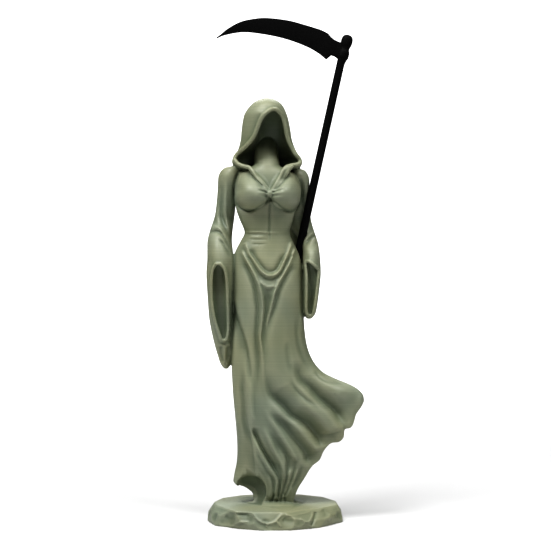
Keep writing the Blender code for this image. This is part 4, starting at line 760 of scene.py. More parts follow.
# Each cup's middle in the front drawing, how far it reaches left, right, up and
# down from there, and its height
CUPS = [
    ((-13.4, 155.4), (7.6, 10.5, 10.6, 9.1), 7.2),
    ((5.8, 155.2), (8.7, 7.4, 10.6, 8.9), 6.9),
]
CUP_TIP = 0.35  # how round a cup's upper slope is at its tip
CUP_SIDES = 2.5  # above 2 a cup fills more of its width than an oval does
CUP_SLOPE = 1.2  # above 1 its upper slope is a little hollow
CUP_ROUND = 0.7  # below 1 its lower half is fuller than a parabola
BUST_ROOT = 2.5  # how far in front of the figure's middle the bust has its full height
BODICE_ROUND = 0.45  # below 0.5 the bodice's front is fuller than an oval's


def cup_height(seen):
    """How far the cups stand forward: round below, and an even slope above."""
    height = np.zeros(len(seen))
    for middle, (left, right, up, down), tall in CUPS:
        x, h = (seen - middle).T
        reach_x = np.where(x < 0, left, right)
        reach_h = np.where(h > 0, up, down)
        share = np.minimum(np.abs(x / reach_x) ** CUP_SIDES + (h / reach_h) ** 2, 1.0)
        upward = smooth_step(0.5 + 0.9 * h / np.maximum(np.hypot(x, h), 1e-6))
        slope = (np.sqrt(share + CUP_TIP**2) - CUP_TIP) / (math.hypot(1.0, CUP_TIP) - CUP_TIP)
        above = np.maximum(1 - slope, 0.0) ** CUP_SLOPE
        below = (1 - share) ** CUP_ROUND
        height = np.maximum(height, tall * (upward * above + (1 - upward) * below))
    return height


def raise_cups(rings):
    """The gown's rings with the bust raised on their front."""
    grid = np.array(rings)
    points = grid.reshape(-1, 3)
    lift = cup_height(seen_from_front(points)) * smooth_step(-points[:, 1] / BUST_ROOT)
    points[:, 1] -= lift
    return list(grid)


def bodice_front(path):
    """The y of the bodice's front at each drawn (x, h), cups included."""
    path = np.asarray(path, float)
    table = np.array(BODY_STATIONS)
    order = table[:, 1].argsort()
    left, right, forward = (
        np.interp(path[:, 1], table[order, 1], table[order, k]) for k in (0, 2, 4)
    )
    share = np.clip(2 * (path[:, 0] - left) / (right - left) - 1, -1, 1)
    return -forward * (1 - share**2) ** BODICE_ROUND - cup_height(path)


def bust():
    """The knot between the cups, and the neck."""
    neck = [
        ring_at(-4.0, 0.6, 160.0, 9.0, 8.6),
        ring_at(-4.2, 0.6, 164.5, 7.8, 8.6),
        ring_at(-4.4, 1.2, 168.0, 6.9, 8.2),
        ring_at(-4.5, 2.4, 171.4, 6.3, 6.8),
        ring_at(-4.6, 5.0, 175.0, 5.9, 6.0),
        ring_at(-4.6, 8.0, 179.0, 5.2, 4.8),
        ring_at(-4.7, 10.4, 182.5, 4.0, 3.6),
        ring_at(-4.6, 11.4, 185.5, 2.4, 2.4),
    ]
    return [skin("neck", neck), egg("knot", (-2.9, -13.0, 153.7), (1.5, 1.7, 1.9))]


# The hood


# Height, left and right edge, reach forwards and back
HOOD_OUTSIDE = [
    (166.6, -17.0, 9.0, -8.0, 10.5),
    (167.6, -20.0, 12.2, -10.0, 12.2),
    (169.8, -21.7, 13.4, -11.2, 13.2),
    (172.2, -21.4, 12.6, -11.4, 13.6),
    (176.2, -18.9, 10.2, -11.6, 14.4),
    (181.2, -17.5, 8.3, -12.2, 15.0),
    (186.2, -17.0, 7.5, -13.0, 15.2),
    (191.2, -16.3, 6.5, -13.6, 14.8),
    (194.5, -15.3, 5.5, -13.6, 14.0),
    (198.5, -12.4, 3.5, -11.4, 11.8),
    (201.0, -9.0, 0.4, -7.6, 8.6),
    (202.2, -5.4, -3.4, -2.0, 3.0),
]
# Height, left and right edge of the opening, and how far back the hollow goes
HOOD_HOLLOW = [
    (165.8, -10.6, 3.4, 3.0),
    (167.4, -12.6, 5.2, 5.6),
    (168.2, -15.6, 8.0, 7.0),
    (169.2, -18.4, 11.2, 8.0),
    (170.2, -19.8, 12.3, 8.6),
    (171.7, -20.3, 11.7, 9.0),
    (174.1, -18.8, 9.7, 9.2),
    (176.6, -15.8, 8.3, 9.2),
    (179.5, -12.6, 6.8, 8.8),
    (182.4, -10.5, 5.8, 8.2),
    (185.9, -9.0, 5.1, 7.0),
    (189.1, -7.7, 4.4, 5.0),
    (191.8, -6.3, 3.5, 2.0),
    (193.8, -4.3, 2.2, -1.4),
    (195.5, -1.4, 0.1, -5.0),
]
HOOD_ROLL = 1.1
HOOD_CUTTER_FRONT = -22.0  # the hollow's cutter starts well in front of the rim
HOOD_CUTTER_SQUARE = 0.7
RIM_LIMIT = 0.985  # how near the hood's widest line, as a share, its rim may come
# The heights where the rim is laid, closer together at its peak
RIM_HEIGHTS = [*np.linspace(169.8, 193.2, 40), *np.linspace(193.8, 195.3, 6)]
# How the rim tapers down to the knot: heights, and its radius at each
RIM_TAPER = ((155.0, 160.0, 168.5), (0.5, 0.75, HOOD_ROLL))
# Where the rim goes on below the hood, down each lapel's inner edge to the knot
LEFT_RIM_FOOT = [(-18.6, 169.2), (-15.8, 168.1), (-13.2, 167.5), (-11.4, 165.6), (-9.6, 162.4),
                 (-7.0, 159.2), (-4.9, 156.8), (-3.9, 155.3)]
RIGHT_RIM_FOOT = [(11.6, 169.2), (8.4, 168.6), (5.4, 167.7), (3.6, 165.6), (2.2, 162.6),
                  (0.4, 159.4), (-1.1, 156.8), (-2.0, 155.3)]
HOOD_FOOT = [-5.4, -6.9, -8.4]  # y of the rim's first points there, on the hood's lower edge
LAPEL_SLOPE = (166.0, -9.4, -0.28)  # the height and y where the lapels start, and their slope
# Down the middle of each lapel as drawn: x, h, half-width and thickness
LEFT_LAPEL = [
    (-13.4, 167.4, 0.4, 2.4), (-12.3, 166.3, 0.9, 2.6), (-10.9, 164.5, 1.2, 2.4),
    (-8.6, 161.8, 1.2, 1.9), (-6.4, 159.4, 1.2, 1.7), (-4.2, 157.0, 1.0, 1.6),
    (-2.8, 155.2, 0.8, 1.6),
]
RIGHT_LAPEL = [
    (8.8, 168.2, 0.5, 2.6), (7.4, 167.4, 1.2, 2.8), (6.0, 166.5, 1.6, 2.8),
    (4.8, 165.0, 1.9, 2.4), (3.2, 162.8, 1.8, 2.0), (1.5, 160.0, 1.6, 1.8),
    (-0.4, 157.4, 1.2, 1.7), (-2.4, 155.2, 0.9, 1.6),
]
LAPEL_PROUD = 0.8  # how far a lapel's face stands off the bodice
LAPEL_SQUARE = 0.7
LAPEL_RINGS, LAPEL_SIDES = 48, 32


def hood_rim(side, heights):
    """Points where the opening meets the hood's outside, on one side."""
    left, right, front, rear = at_height(HOOD_OUTSIDE, heights)
    edge = at_height(HOOD_HOLLOW, heights)[0 if side < 0 else 1]
    middle, half = (left + right) / 2, (right - left) / 2
    share = np.clip((edge - middle) / half, -RIM_LIMIT, RIM_LIMIT)
    y_middle, y_half = (front + rear) / 2, (rear - front) / 2
    return np.column_stack([edge, y_middle - y_half * np.sqrt(1 - share**2), heights])


def hood():
    """The hood: a domed shell, its rolled rim, and the lapels down to the knot."""
    heights = np.linspace(HOOD_OUTSIDE[0][0], HOOD_OUTSIDE[-1][0], 120)
    dome = level_loft("hood_dome", heights, *at_height(HOOD_OUTSIDE, heights), sides=128)
    heights = np.linspace(HOOD_HOLLOW[0][0], HOOD_HOLLOW[-1][0], 80)
    left, right, rear = at_height(HOOD_HOLLOW, heights)
    hollow = level_loft(
        "hood_hollow", heights, left, right, HOOD_CUTTER_FRONT, rear, 96, HOOD_CUTTER_SQUARE)
    dome = cut(dome, hollow)
    left_rim, right_rim = (hood_rim(side, np.array(RIM_HEIGHTS)) for side in (-1, 1))
    left_foot, right_foot = (
        behind_drawing(line, [*HOOD_FOOT, *lapel_front(line)[len(HOOD_FOOT):]])
        for line in (LEFT_RIM_FOOT, RIGHT_RIM_FOOT)
    )
    path = np.vstack(
        [
            spline(np.vstack([left_foot[::-1], left_rim[:1]]), 80)[:-1],
            left_rim,
            right_rim[::-1],
            spline(np.vstack([right_rim[:1], right_foot]), 80)[1:],
        ]
    )
    rim = round_bar("hood_rim", path, np.interp(path[:, 2], *RIM_TAPER))
    return [dome, rim, lapel("left_lapel", LEFT_LAPEL), lapel("right_lapel", RIGHT_LAPEL)]


def lapel_front(path):
    """The y of the lapels' front, which spans the hollow between the cups."""
    top, start, slope = LAPEL_SLOPE
    h = np.asarray(path, float)[:, 1]
    return np.minimum(bodice_front(path), start + slope * (top - h)) - LAPEL_PROUD


def lapel(name, table):
    """A flat band of cloth from the hood's rim down to the knot."""
    x, h, half_width, thickness = spline(table, LAPEL_RINGS).T
    line = np.column_stack([x, h])
    middle = behind_drawing(line, lapel_front(line) + thickness / 2)
    heading = unit(np.gradient(middle, axis=0))
    side = unit(np.cross(heading, (0.0, 1.0, 0.0)))
    outward = np.cross(side, heading)
    turn = np.linspace(0, 2 * math.pi, LAPEL_SIDES, endpoint=False)
    rings = []
    for k in range(len(middle)):
        across = half_width[k] * squared(np.cos(turn), LAPEL_SQUARE)
        through = thickness[k] / 2 * squared(np.sin(turn), LAPEL_SQUARE)
        rings.append(middle[k] + across[:, None] * side[k] + through[:, None] * outward[k])
    return skin(name, rings)


# The arms and their bell sleeves


# Height, x and y of the middle, half-width and half-depth
LEFT_ARM = [
    (168.4, -20.4, 2.6, 1.6, 2.4), (167.2, -21.4, 2.6, 4.6, 5.0), (163.4, -22.8, 2.8, 5.8, 6.4),
    (156.0, -24.2, 3.4, 4.9, 5.8), (146.0, -25.2, 4.4, 4.9, 5.6), (141.0, -26.1, 4.6, 5.2, 5.8),
    (136.0, -27.2, 2.4, 5.7, 7.2), (131.0, -27.9, 0.6, 6.1, 9.0), (126.0, -27.7, -0.5, 6.4, 10.1),
    (121.0, -27.4, -1.1, 6.7, 10.6), (114.0, -27.6, -1.3, 6.9, 10.7),
    (101.0, -27.5, -0.8, 6.3, 9.8), (91.0, -27.2, 0.0, 5.8, 8.4), (81.0, -26.2, 0.8, 4.8, 6.6),
    (74.0, -25.2, 1.4, 3.9, 4.8),
    (69.0, -24.9, 1.6, 2.5, 3.2), (66.8, -24.8, 1.6, 0.9, 1.2),
]
RIGHT_ARM = [
    (167.2, 10.6, 2.8, 1.2, 2.0), (166.0, 11.4, 3.0, 3.6, 4.6), (162.4, 12.0, 3.6, 4.9, 6.2),
    (157.0, 12.6, 5.6, 4.5, 5.0), (151.0, 12.5, 8.4, 4.7, 4.4), (146.0, 12.2, 9.6, 5.3, 4.5),
    (141.0, 12.4, 10.2, 5.8, 4.9), (136.0, 13.8, 9.6, 5.8, 6.0), (131.0, 16.6, 7.2, 4.6, 7.8),
    (126.0, 17.8, 2.0, 4.2, 9.5), (121.0, 18.0, -0.2, 4.4, 9.6), (114.0, 18.3, -1.8, 4.3, 9.2),
    (106.0, 17.9, -2.0, 3.9, 8.4), (99.0, 17.4, -1.8, 3.5, 7.2), (94.4, 17.0, -1.4, 2.9, 5.4),
    (91.9, 16.8, -1.4, 1.1, 2.4),
]
# Height, left and right edge of the mouth, and how far back its hollow goes
LEFT_MOUTH = [
    (119.2, -28.6, -27.8, -8.0), (116.2, -30.2, -25.8, -6.4), (110.4, -30.9, -24.8, -5.6),
    (101.0, -30.7, -24.5, -4.8), (92.0, -29.4, -24.3, -3.8), (86.0, -27.6, -24.4, -3.6),
    (81.4, -26.0, -25.2, -4.4),
]
RIGHT_MOUTH = [
    (120.6, 14.8, 15.8, -6.8), (119.0, 15.0, 17.8, -6.2), (117.0, 15.1, 20.0, -5.8),
    (115.0, 15.2, 21.0, -5.6), (108.0, 15.4, 20.9, -5.2), (102.0, 15.4, 20.4, -4.8),
    (96.8, 15.7, 19.4, -4.8), (93.8, 16.6, 17.8, -5.0),
]
# Folds drawn on the sleeves from the front, as on the gown
LEFT_SLEEVE_FOLDS = [
    # down the upper arm
    ([(-26.8, 162), (-27.2, 152), (-26.8, 143), (-24.8, 136.6), (-22.8, 131.5), (-22, 126)],
     1.2, 1.2, -1.3, 0.3, 0.3),
    ([(-24.8, 163.5), (-25, 153.8), (-25.2, 146), (-24.2, 140), (-22.4, 134)],
     1.1, 1.1, 0.9, 0.3, 0.3),
    ([(-29.4, 157), (-29.6, 149), (-29, 142), (-27.4, 138)], 1.0, 1.0, 0.5, 0.3, 0.3),
    # round the elbow
    ([(-34, 137.6), (-31, 138), (-28, 137.2), (-25.2, 134.4)], 0.9, 0.9, 0.9, 0.2, 0.4),
    ([(-34, 134.8), (-31.6, 135.5), (-28.4, 135.2), (-25.6, 132.4), (-23.4, 127.8), (-22, 123.6)],
     0.6, 0.9, -1.5, 0.1, 0.3, 1.5),
    ([(-30, 133.6), (-27.2, 132.4), (-24.8, 129), (-22.8, 124.6)], 0.6, 0.6, 0.6, 0.3, 0.3),
    ([(-29, 132), (-26.4, 129.8), (-24, 125.6), (-22.2, 121.6)], 0.6, 0.8, -1.0, 0.3, 0.3, 1.5),
    # the gathered tail
    ([(-29, 81.6), (-25.5, 81.1), (-22, 81.8)], 0.5, 0.5, 0.5, 0.2, 0.2),
    ([(-29, 80.2), (-25.5, 79.6), (-22, 80.4)], 0.5, 0.6, -1.0, 0.2, 0.2, 1.5),
    ([(-27.3, 79), (-27, 74), (-25.9, 69.4)], 0.7, 0.7, -1.0, 0.2, 0.3, 1.5),
    ([(-25.3, 79), (-25.3, 74), (-25, 69)], 0.6, 0.6, 0.6, 0.2, 0.3),
    ([(-23.5, 79), (-23.9, 74), (-24.4, 70)], 0.6, 0.6, -0.7, 0.2, 0.3),
]
RIGHT_SLEEVE_FOLDS = [
    ([(21.5, 136.4), (18.6, 134.8), (16, 132.4), (14.2, 129.6)], 0.8, 0.8, 0.8, 0.2, 0.3),
    ([(22, 134.8), (19.3, 133.2), (16.6, 130.9), (14.4, 127.6)], 0.6, 0.8, -1.5, 0.15, 0.3, 1.5),
    ([(21.5, 132.2), (18.8, 130.4), (16.4, 127.8), (14.6, 124.4)], 0.9, 0.9, 0.6, 0.3, 0.3),
    ([(12.4, 164), (13.2, 158), (13.4, 152), (12.8, 146)], 1.0, 1.0, -0.9, 0.3, 0.3),
    ([(14.8, 162), (15.6, 156), (15.6, 149)], 0.9, 0.9, 0.6, 0.3, 0.3),
]
SLEEVE_ROLL = 0.8
SLEEVE_WALL = 1.3
SLEEVE_CUTTER_FRONT = -20.0  # the hollow's cutter starts well in front of the sleeve
SLEEVE_CUTTER_SQUARE = 0.75
ARM_SIDES = 112
# The cloth behind the scythe's shaft, between the waist and the right sleeve
ELBOW_CLOTH = [
    (143.0, 11.0, 10.2, 2.0, 1.6), (138.0, 11.4, 9.8, 4.6, 3.2), (131.0, 11.8, 9.2, 5.0, 3.8),
    (125.0, 12.6, 8.4, 4.8, 3.8), (119.0, 13.6, 6.6, 4.0, 3.6), (112.0, 14.6, 4.6, 2.6, 2.6),
    (108.0, 15.0, 3.6, 0.8, 0.8),
]


def arm_skin(name, table, rings=180):
    """A closed loft through level ovals: height, x and y of the middle, half-sizes."""
    return skin(
        name,
        [ring_at(x, y, h, rx, ry, ARM_SIDES) for h, x, y, rx, ry in spline(table, rings)],
    )


def sleeve(name, arm_table, mouth_table, folds):
    """An arm and its bell sleeve, hollowed from the mouth, with a rolled rim."""
    made = carve(arm_skin(name, arm_table), folds)
    heights = np.linspace(mouth_table[0][0], mouth_table[-1][0], 60)
    x, y, rx, ry = at_height(arm_table, heights)
    left, right, rear = at_height(mouth_table, heights)
    inner = rx - SLEEVE_WALL
    left = np.maximum(left - SLEEVE_ROLL, x - inner)
    right = np.minimum(right + SLEEVE_ROLL, x + inner)
    hollow = level_loft(
        name + "_hollow", heights, left, right, SLEEVE_CUTTER_FRONT, rear, 80,
        SLEEVE_CUTTER_SQUARE)
    made = cut(made, hollow)
    sides = []
    for edge in (left, right):
        share = (edge - x) / rx
        sides.append(np.column_stack([edge, y - ry * np.sqrt(1 - share**2), heights]))
    path = np.vstack([sides[0][::-1], sides[1], sides[0][-1:]])
    rim = round_bar(name + "_rim", path, np.full(len(path), SLEEVE_ROLL))
    return [made, rim]


# The rock


# Corners of the rock seen from above: its foot and a line half way up as shares of half
# its width, and its upper edge as shares of half the top's; before each, its height as a
# share of the rock's
ROCK_RINGS = [
    (0.0, [(-1.0, -0.1), (-0.87, -0.55), (-0.5, -0.83), (-0.2, -0.97), (0.2, -0.96),
           (0.62, -0.74), (0.98, -0.22), (1.0, 0.16), (0.84, 0.55), (0.54, 0.84),
           (0.1, 0.98), (-0.34, 0.93), (-0.72, 0.7), (-0.95, 0.34)]),
    (0.46, [(-1.0, -0.06), (-0.9, -0.46), (-0.52, -0.86), (-0.1, -0.95), (0.34, -0.93),
            (0.74, -0.6), (0.96, -0.26), (0.97, 0.24), (0.74, 0.64), (0.42, 0.88),
            (-0.04, 0.97), (-0.44, 0.87), (-0.82, 0.58), (-0.96, 0.24)]),
    (1.0, [(-0.97, -0.21), (-0.58, -0.99), (0.13, -0.98), (0.4, -0.76), (0.7, -0.54),
           (1.0, -0.17), (0.98, 0.2), (0.8, 0.62), (0.42, 0.92), (-0.1, 0.98),
           (-0.56, 0.84), (-0.88, 0.52), (-0.99, 0.12)]),
]

# Chips round the rock's side: the angle they are struck at in degrees, their height as
# a share of the rock's, their radius in thousandths and how deep they bite
CHIPS = [
    (-96, 0.72, 13.0, 1.5), (-69, 0.66, 11.5, 1.4), (-51, 0.80, 7.0, 1.0), (-37, 0.62, 7.0, 1.1),
    (-20, 0.74, 10.0, 1.3), (4, 0.60, 12.0, 1.4), (28, 0.74, 10.5, 1.3), (49, 0.62, 11.5, 1.4),
    (72, 0.74, 12.0, 1.4), (96, 0.64, 11.0, 1.3), (118, 0.74, 10.5, 1.4), (140, 0.62, 12.0, 1.4),
    (164, 0.74, 11.0, 1.3), (187, 0.62, 10.0, 1.2), (206, 0.78, 8.5, 1.0), (226, 0.55, 13.0, 1.2),
    (247, 0.85, 9.0, 0.9),
]
CHIP_SEED = 7
CHIP_REACH = 0.97  # where the chips start, as a share of half the rock's width
CHIP_SQUEEZE = 0.94  # the least size of a lump as a share of its drawn one
# Ridges and dints of the rock's front, drawn and carved as the gown's folds are
ROCK_MARKS = [
    ([(-11, -4.6), (-10.6, -6.4), (-8.6, -8.8), (-5.6, -10.3), (-2, -10.4), (0.4, -9),
      (2.4, -6.9), (4.6, -4.9)], 0.6, 0.6, 0.7, 0.1, 0.1, 1.5),
    ([(-4, -10.6), (-4.6, -12.6)], 0.5, 0.5, 0.4, 0.1, 0.2, 1.5),
    ([(0.4, -9.2), (1.6, -10.8), (3, -12.6)], 0.5, 0.5, 0.5, 0.1, 0.2, 1.5),
    ([(4.6, -6.3), (9.5, -6.3), (13.5, -5.4), (18.5, -4.2)], 0.5, 0.5, 0.6, 0.1, 0.1, 1.5),
    ([(3, -8), (6, -9.4), (10.5, -9.4)], 1.8, 1.8, -0.8, 0.3, 0.3),
    ([(18.6, -4.4), (18.4, -6.4), (17.6, -8.4), (16.4, -10.6)], 0.5, 0.5, 0.6, 0.1, 0.2, 1.5),
    ([(20.2, -4.6), (19.4, -8), (17.8, -12)], 0.8, 0.8, -1.0, 0.1, 0.1, 1.5),
    ([(12, -6.9), (13.4, -8.6), (15.4, -9.8), (17, -9.4)], 0.5, 0.5, 0.5, 0.2, 0.2, 1.5),
    ([(-30, -2.6), (-26, -4), (-21, -5.6), (-16, -6.2), (-12, -6.2)],
     0.9, 1.2, -0.8, 0.2, 0.2, 1.6),
    ([(-26, -7), (-23, -7.4), (-20.4, -8.2)], 1.5, 1.5, -0.7, 0.3, 0.3),
    ([(-21, -11.2), (-17, -9.8), (-13, -9.8)], 0.6, 0.6, 0.5, 0.2, 0.2),
    ([(23, -3.6), (24.6, -5.6), (25.4, -8)], 1.1, 1.1, -0.7, 0.2, 0.3),
    ([(27, -5), (27.2, -7.5), (26.4, -10)], 0.6, 0.6, 0.5, 0.2, 0.2),
    ([(29.4, -6), (30, -8.4)], 1.2, 1.2, -0.6, 0.3, 0.3),
]
ROCK_VOXEL = 0.00045
ROCK_TRIANGLES = 26000
FLAT_FOOT = 0.0003  # how high the fusing may leave the rim of the underside


def chip_tree():
    """A lump at each point, of the point's own size, turned and squeezed at random."""
    tree, sockets = new_tree("chips", Squeeze="NodeSocketFloat", Seed="NodeSocketInt")
    start = add_node(tree, "NodeGroupInput", (-700, 0))
    places = add_node(tree, "GeometryNodeMeshToPoints", (-400, 100))
    lump = add_node(tree, "GeometryNodeMeshIcoSphere", (-400, -100), Radius=MM, Subdivisions=3)
    size = add_node(tree, "GeometryNodeInputNamedAttribute", (-400, -300), data_type="FLOAT",
                    Name="chip_radius")
    turn = add_node(tree, "FunctionNodeRandomValue", (-150, -350), data_type="FLOAT_VECTOR")
    turn.inputs["Min"].default_value = (0.0, 0.0, 0.0)
    turn.inputs["Max"].default_value = (math.tau, math.tau, math.tau)
    squeeze = add_node(tree, "FunctionNodeRandomValue", (-150, -550), data_type="FLOAT")
    squeeze.inputs[3].default_value = 1.0
    grown = add_node(tree, "ShaderNodeMath", (50, -450), operation="MULTIPLY")
    lumps = add_node(tree, "GeometryNodeInstanceOnPoints", (250, 0))
    join(tree, start, "Geometry", places, "Mesh")
    join(tree, start, "Seed", turn, "Seed")
    join(tree, start, "Seed", squeeze, "Seed")
    join(tree, start, "Squeeze", squeeze, 2)
    join(tree, size, "Attribute", grown, 0)
    join(tree, squeeze, 1, grown, 1)
    join(tree, places, 0, lumps, "Points")
    join(tree, lump, "Mesh", lumps, "Instance")
    join(tree, turn, 0, lumps, "Rotation")
    join(tree, grown, 0, lumps, "Scale")
    finish_tree(tree, lumps.outputs[0], None)
    return tree, sockets


def chip_cutter(sizes):
    """Lumps round the rock that bite a chip each out of its side."""
    half = sizes.rock_width / 2
    angle, height, radius, bite = np.array(CHIPS, float).T
    out = half * CHIP_REACH + (radius - bite) * MM
    turn = np.radians(angle)
    places = np.column_stack([out * np.cos(turn), out * np.sin(turn), height * sizes.rock_height])
    mesh = bpy.data.meshes.new("chips")
    mesh.from_pydata(places.tolist(), [], [])
    mesh.attributes.new("chip_radius", "FLOAT", "POINT").data.foreach_set("value", radius)
    tree, sockets = chip_tree()
    made = grow(
        new_object("chips", mesh), tree, sockets, "chips", Squeeze=CHIP_SQUEEZE, Seed=CHIP_SEED)
    bpy.data.node_groups.remove(tree)
    return made


def rock_base(sizes):
    """A low rock with chipped sides, its flat underside at the origin."""
    corners = []
    for height, ring in ROCK_RINGS:
        half = (sizes.rock_top_width if height == 1.0 else sizes.rock_width) / 2
        corners += [(x * half, y * half, height * sizes.rock_height) for x, y in ring]
    mesh = bpy.data.meshes.new("rock")
    with editing(mesh) as work:
        for corner in corners:
            work.verts.new(corner)
        hull = bmesh.ops.convex_hull(work, input=work.verts[:])
        loose = [v for v in hull["geom_interior"] if isinstance(v, bmesh.types.BMVert)]
        bmesh.ops.delete(work, geom=loose, context="VERTS")
        bmesh.ops.recalc_face_normals(work, faces=work.faces)
    made = cut(new_object("rock", mesh), chip_cutter(sizes), self_crossing=True)
    made = clay([made], "rock", ROCK_VOXEL)
    shift_up(made, -sizes.rock_height)
    made = thin_out(carve(made, ROCK_MARKS), ROCK_TRIANGLES)
    shift_up(made, sizes.rock_height)
    for vertex in made.data.vertices:
        if vertex.co.z < FLAT_FOOT:
            vertex.co.z = 0.0
    made.data.shade_smooth()
    return made


def shift_up(target, height):
    """Lifts an object's mesh."""
    target.data.transform(Matrix.Translation((0.0, 0.0, height)))


# The whole figure


def clay(pieces, name, voxel):
    """All the forms fused into one skin, as clay is, and eased a little."""
    mesh = bpy.data.meshes.new(name)
    with editing(mesh) as work:
        for piece in pieces:
            work.from_mesh(piece.data)
            bpy.data.objects.remove(piece)
    made = new_object(name, mesh)
    fuse = made.modifiers.new("Fuse", "REMESH")
    fuse.mode = "VOXEL"
    fuse.voxel_size = voxel
    ease = made.modifiers.new("Ease", "SMOOTH")
    ease.factor = 0.5
    ease.iterations = 2
    return evaluated_copy(made, name)


def thin_out(target, triangles):
    """Fewer triangles, kept where the form turns."""
    count = sum(len(face.vertices) - 2 for face in target.data.polygons)
    thin = target.modifiers.new("Thin", "DECIMATE")
    thin.ratio = min(1.0, triangles / count)
    thin.use_collapse_triangulate = True
    return evaluated_copy(target, target.name)


RELIEF_ROUNDS = 30  # how often the skin is eased to tell what stands proud of it


def note_relief(mesh):
    """Notes how far each point stands proud of the skin around it; the sage finish turns this into
    painted highlights on crests and painted shade in hollows.
    """
    points, normals = surface_arrays(mesh)
    count = len(points)
    one, other = edge_ends(mesh)
    here, there = np.concatenate([one, other]), np.concatenate([other, one])
    neighbours = np.maximum(np.bincount(here, minlength=count), 1)
    eased = points.copy()
    for _ in range(RELIEF_ROUNDS):
        for axis in range(3):
            total = np.bincount(here, eased[there, axis], minlength=count)
            eased[:, axis] = (eased[:, axis] + total / neighbours) / 2
    proud = ((points - eased) * normals).sum(1) / MM
    mesh.attributes.new("proud", "FLOAT", "POINT").data.foreach_set("value", proud)


def keep_largest(mesh):
    """Drops any crumb that the fusing left loose."""
    one, other = edge_ends(mesh)
    group = np.arange(len(mesh.vertices))
    while True:
        low = np.minimum(group[one], group[other])
        fresh = group.copy()
        np.minimum.at(fresh, one, low)
        np.minimum.at(fresh, other, low)
        fresh = fresh[fresh]
        if (fresh == group).all():
            break
        group = fresh
    names, sizes = np.unique(group, return_counts=True)
    if len(names) == 1:
        return
    loose = np.flatnonzero(group != names[sizes.argmax()])
    with editing(mesh) as work:
        work.verts.ensure_lookup_table()
        bmesh.ops.delete(work, geom=[work.verts[i] for i in loose], context="VERTS")


# Middle and half-sizes of the low rise in the rock that the foot's folds run out on
FOOT_MOUND = ((-0.6, -1.0, -2.2), (17.0, 14.0, 4.0))
SHAFT_PLANE = 2.5  # how far behind the figure's middle the scythe's plane lies
SHAFT_SEAT = (11.6, 125.0)  # x and h where the shaft's middle enters the hip


def shaft_frame(figure, scythe):
    """The socket's mouth and the shaft's direction, in thousandths of a metre."""
    scale = figure.robed_height / (DRAWN_HEIGHT * MM)
    x, h = SHAFT_SEAT
    mouth = Vector((x * scale, SHAFT_PLANE * scale, figure.rock_height / MM + h * scale))
    along = Vector((math.sin(scythe.shaft_slant), 0.0, math.cos(scythe.shaft_slant)))
    return mouth, along


def robed_figure(figure, scythe):
    """The robed figure and its rock, one skin with the shaft's socket."""
    forms = [gown(), *bust(), *hood(), egg("mound", *FOOT_MOUND)]
    forms += sleeve("left_sleeve", LEFT_ARM, LEFT_MOUTH, LEFT_SLEEVE_FOLDS)
    forms += sleeve("right_sleeve", RIGHT_ARM, RIGHT_MOUTH, RIGHT_SLEEVE_FOLDS)
    forms.append(arm_skin("elbow_cloth", ELBOW_CLOTH, 60))
    body = carve(clay(forms, "robed_figure_skin", figure.clay_voxel), SKIN_FOLDS)
    keep_largest(body.data)
    body = cut(body, egg("lobe_hollow", *LOBE_HOLLOW))
    body = thin_out(body, figure.triangles)
    keep_largest(body.data)
    scale = figure.robed_height / (DRAWN_HEIGHT * MM)
    points, _ = surface_arrays(body.data)
    set_points(body.data, points * scale + (0.0, 0.0, figure.rock_height))
    body.data.shade_smooth()
    body = cut(body, rock_base(figure), "UNION")
    mouth, along = shaft_frame(figure, scythe)
    foot = mouth - along * (scythe.socket_depth + scythe.socket_clearance) / MM
    top = mouth + along * scythe.shaft_length / MM
    bore = (scythe.shaft_diameter / 2 + scythe.socket_clearance) / MM
    body = cut(body, round_bar("socket", [foot, top], [bore, bore], 40))
    # how far each point stands proud, for the sage finish's painted shade in hollows and painted
    # highlights on crests
    note_relief(body.data)
    return body


# The scythe


DRAWN_BLADE = 65.3
# The line where the blade's bevel starts: right of the collar's middle, and its height
BLADE_BEVEL = [(-65.3, -5.4), (-57.4, 0.0), (-49.0, 1.4), (-41.6, 2.0), (-36.2, 1.6),
               (-24.8, -3.8), (-19.3, -5.9), (-13.9, -8.1), (-9.0, -9.7)]
# The blade from its tip to the collar: how far right of the collar's middle and above
# the blade's own level its back stands, then the same for its cutting edge
BLADE_STATIONS = [
    (-65.3, -5.3, -65.1, -5.7),
    (-63.0, -3.6, -63.0, -4.7),
    (-59.5, -0.8, -60.6, -3.9),
    (-54.0, 2.2, -55.2, -2.8),
    (-48.6, 3.7, -50.2, -2.5),
    (-40.5, 4.5, -43.6, -3.2),
    (-29.6, 3.3, -35.2, -4.7),
    (-21.5, 1.2, -27.0, -7.0),
    (-13.4, -1.3, -18.8, -10.3),
    (-10.3, -2.7, -13.4, -13.5),
    (-9.2, -3.4, -10.1, -16.2),
    (-7.8, -5.1, -7.7, -14.1),
    (-6.3, -6.4, -5.9, -14.7),
    (-3.6, -7.7, -4.0, -16.2),
    (-0.4, -8.0, -0.6, -16.4),
]
TANG_STATIONS = 5
BLADE_RISE = 5.1
BLADE_EDGE = 0.6
TIP_SHARE, TIP_TAPER = 0.35, 18.0  # the tip's share of the thickness, and where it is full
TANG_START = -10.0  # where the blade turns into its tang
TANG_THICKENING = 1.5
TANG_BEVEL = 0.75  # where the tang's bevel starts, from its back to its edge
TANG_EDGE = 2.4  # how much thicker its edge is than the blade's
# The collar's radius down from its top: the knob, its waist, the band, the taper
COLLAR_PROFILE = [(-1.2, 0.5), (-0.9, 1.6), (-0.2, 2.45), (1.2, 2.95), (2.8, 3.0), (4.2, 2.75),
                  (5.2, 2.4), (6.0, 2.3), (6.9, 2.55), (7.8, 2.9), (9.4, 2.95), (10.4, 2.85),
                  (11.6, 2.3), (13.3, 1.95), (14.6, 1.8)]
COLLAR_OFFSET = 0.7
COLLAR_LEAN = 0.05  # the share of that offset lost with each thousandth down
DRAWN_COLLAR = 5.9


